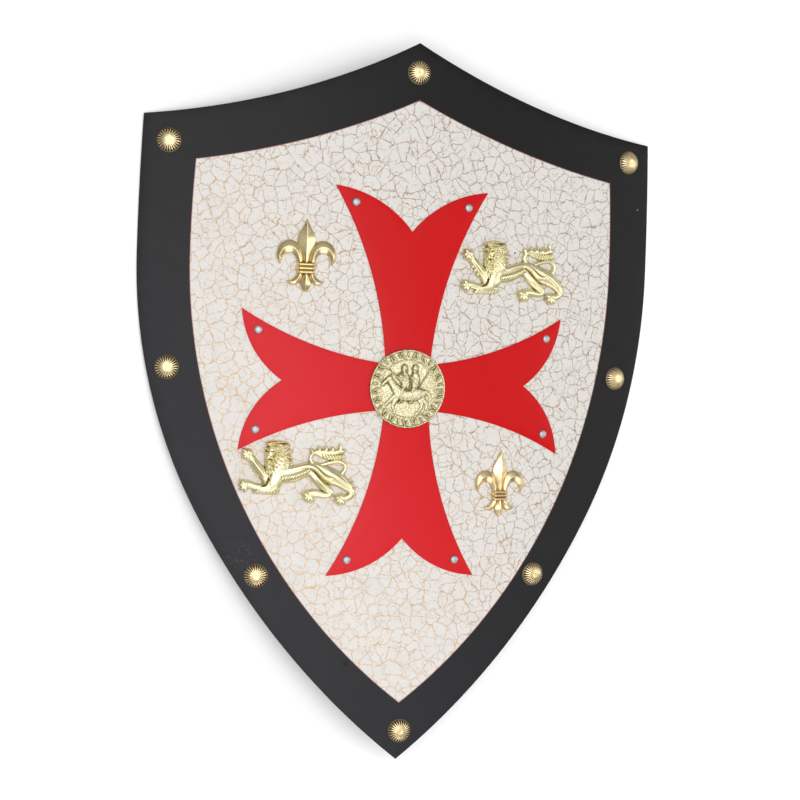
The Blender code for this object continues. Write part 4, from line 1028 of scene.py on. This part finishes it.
def stud_finish():
    """Antique gold with coppery patches. Painted shade darkens and dulls the flutes, the brim and a ring in
    the dimple, so that the ribs stand bright.
    """
    metal = Finish("antique gold", STUD_METAL, 0.38, 1.0)
    flute_shade = metal.step(metal.attribute("flute_shade"), 0.05, 0.45)
    worn = metal.mix(metal.step(metal.noise(260.0, 2.0), 0.45, 0.65), STUD_GOLD, STUD_COPPER)
    # painted shade: dark brown in the flutes, at the brim and in the dimple ring
    metal.set("Base Color", metal.mix(flute_shade, worn, STUD_SHADE_BROWN))
    metal.set("Roughness", metal.spread(flute_shade, 0.36, 0.65))
    metal.bump(metal.noise(1500.0, 3.0), 0.00004)
    return metal.material


def gilt_finish(name, colours, roughness=0.34, grain=120.0, pitting=0.00006):
    """Pale polished gold, worn in patches of this grain, with painted shade that makes it darker and duller
    in the hollows.
    """
    colour, worn, hollow_shade_colour = colours
    metal = Finish(name, colour, roughness, 1.0)
    hollow_shade = metal.step(metal.attribute("cavity_shade"), 0.05, 0.85)
    plain = metal.mix(metal.step(metal.noise(grain, 2.0), 0.35, 0.65), colour, worn)
    # painted shade: darker and duller in the hollows
    metal.set("Base Color", metal.mix(hollow_shade, plain, hollow_shade_colour))
    metal.set("Roughness", metal.spread(hollow_shade, roughness, roughness + 0.14))
    metal.bump(metal.noise(800.0, 3.0), pitting)
    return metal.material


# Stage, light and camera

FLOOR_SIZE = 8.0
FLOOR_DROP = 0.0003             # clear of the shield's long sides
FLOOR_WHITE = (0.93, 0.93, 0.93)
SKY_LOW, SKY_HIGH = 0.16, 0.62  # brightness at the horizon, and above the height where it is full
SKY_FULL = 0.75

# Soft boxes, all aimed at the shield: place, width, height and power
SOFT_BOXES = {
    "softbox above": ((-0.5, 0.2, 2.4), 2.4, 2.4, 42.0),
    "softbox right": ((2.2, 0.1, 1.3), 1.2, 2.2, 16.0),
    "softbox near": ((0.2, -2.2, 1.3), 2.0, 1.0, 12.0),
}


def soft_box(name, spot, width, height, power):
    data = bpy.data.lights.new(name, "AREA")
    data.shape = "RECTANGLE"
    data.size, data.size_y = width, height
    data.energy = power
    light = bpy.data.objects.new(name, data)
    light.location = spot
    light.rotation_euler = (-Vector(spot)).to_track_quat("-Z", "Y").to_euler()
    bpy.context.scene.collection.objects.link(light)


def sky():
    """Soft studio surroundings: bright above, dim towards the horizon."""
    world = bpy.data.worlds.new("studio")
    world.use_nodes = True
    tree = world.node_tree
    way = tree.nodes.new("ShaderNodeTexCoord").outputs["Generated"]
    split = tree.nodes.new("ShaderNodeSeparateXYZ")
    tree.links.new(way, split.inputs[0])
    rise = tree.nodes.new("ShaderNodeMapRange")
    rise.interpolation_type = "SMOOTHSTEP"
    tree.links.new(split.outputs["Z"], rise.inputs["Value"])
    for socket, value in (("From Max", SKY_FULL), ("To Min", SKY_LOW), ("To Max", SKY_HIGH)):
        rise.inputs[socket].default_value = value
    tree.links.new(rise.outputs["Result"], tree.nodes["Background"].inputs["Strength"])
    tree.nodes["Background"].inputs["Color"].default_value = (1.0, 1.0, 1.0, 1.0)
    bpy.context.scene.world = world


def stage():
    bpy.ops.mesh.primitive_plane_add(size=FLOOR_SIZE, location=(0, 0, -FLOOR_DROP))
    floor = bpy.context.object
    floor.name = "floor"
    floor.data.materials.append(Finish("pale floor", FLOOR_WHITE, 0.7, specular=0.2).material)
    sky()
    for name, box in SOFT_BOXES.items():
        soft_box(name, *box)


def camera():
    """The photograph's camera, from its place in the shield's axes."""
    turns = ((ROLL, "Z"), (PITCH, "X"), (YAW, "Y"))
    roll, pitch, yaw = (Matrix.Rotation(turn, 3, axis) for turn, axis in turns)
    to_camera = roll @ pitch @ yaw
    data = bpy.data.cameras.new("camera")
    data.lens = LENS
    data.shift_x, data.shift_y = SHIFT
    made = bpy.data.objects.new("camera", data)
    bpy.context.scene.collection.objects.link(made)
    spot = to_camera.transposed() @ (Vector((0, 0, CAMERA_DISTANCE)) - CAMERA_SLIDE)
    spot.z += RIDGE
    made.matrix_world = Matrix.Translation(spot) @ to_camera.transposed().to_4x4()
    bpy.context.scene.camera = made


def main():
    bpy.context.scene.view_settings.view_transform = "Standard"
    camera()
    stage()
    black, ivory, red = black_finish(), field_finish(), red_finish()

    board = sheet("painted_board", board_outline(), field_outline(), SHEET_BACK, SHEET_FACE, (black, ivory))
    dress(board, "shield_board")
    cross = sheet("red_cross_plate", cross_outline(), None, CROSS_BACK, CROSS_FACE, (red,))
    dress(cross, "cross_plate")

    silver, antique = rivet_finish(), stud_finish()
    gilt = gilt_finish("pale gilt", PALE_GILT)
    golden = gilt_finish("golden gilt", GOLDEN_GILT, 0.26)
    warm = gilt_finish("warm gilt", WARM_GILT, 0.28)
    cast = gilt_finish("cast gilt", CAST_GILT, 0.3, grain=620.0, pitting=0.0011)
    fasteners("border_stud", "fluted_stud", stud_mesh(), antique, SHEET_FACE)
    fasteners("cross_rivet", "dome_rivet", rivet_mesh(), silver, CROSS_FACE)
    for node, turn in LION_TURNS.items():
        casting(node, lion, LION_SIZE, LION_LENGTH / LION_SIZE[0], turn, SHEET_FACE, gilt)
    for (node, height), finish in zip(FLEUR_HEIGHTS.items(), (golden, warm)):
        casting(node, fleur, FLEUR_SIZE, height / FLEUR_SIZE[1], 0.0, SHEET_FACE, finish)
    medallion_unit = 2 * MEDALLION_RADIUS / MEDALLION_SIZE[0]
    casting("medallion", medallion, MEDALLION_SIZE, medallion_unit, 0.0, CROSS_FACE, cast)


main()
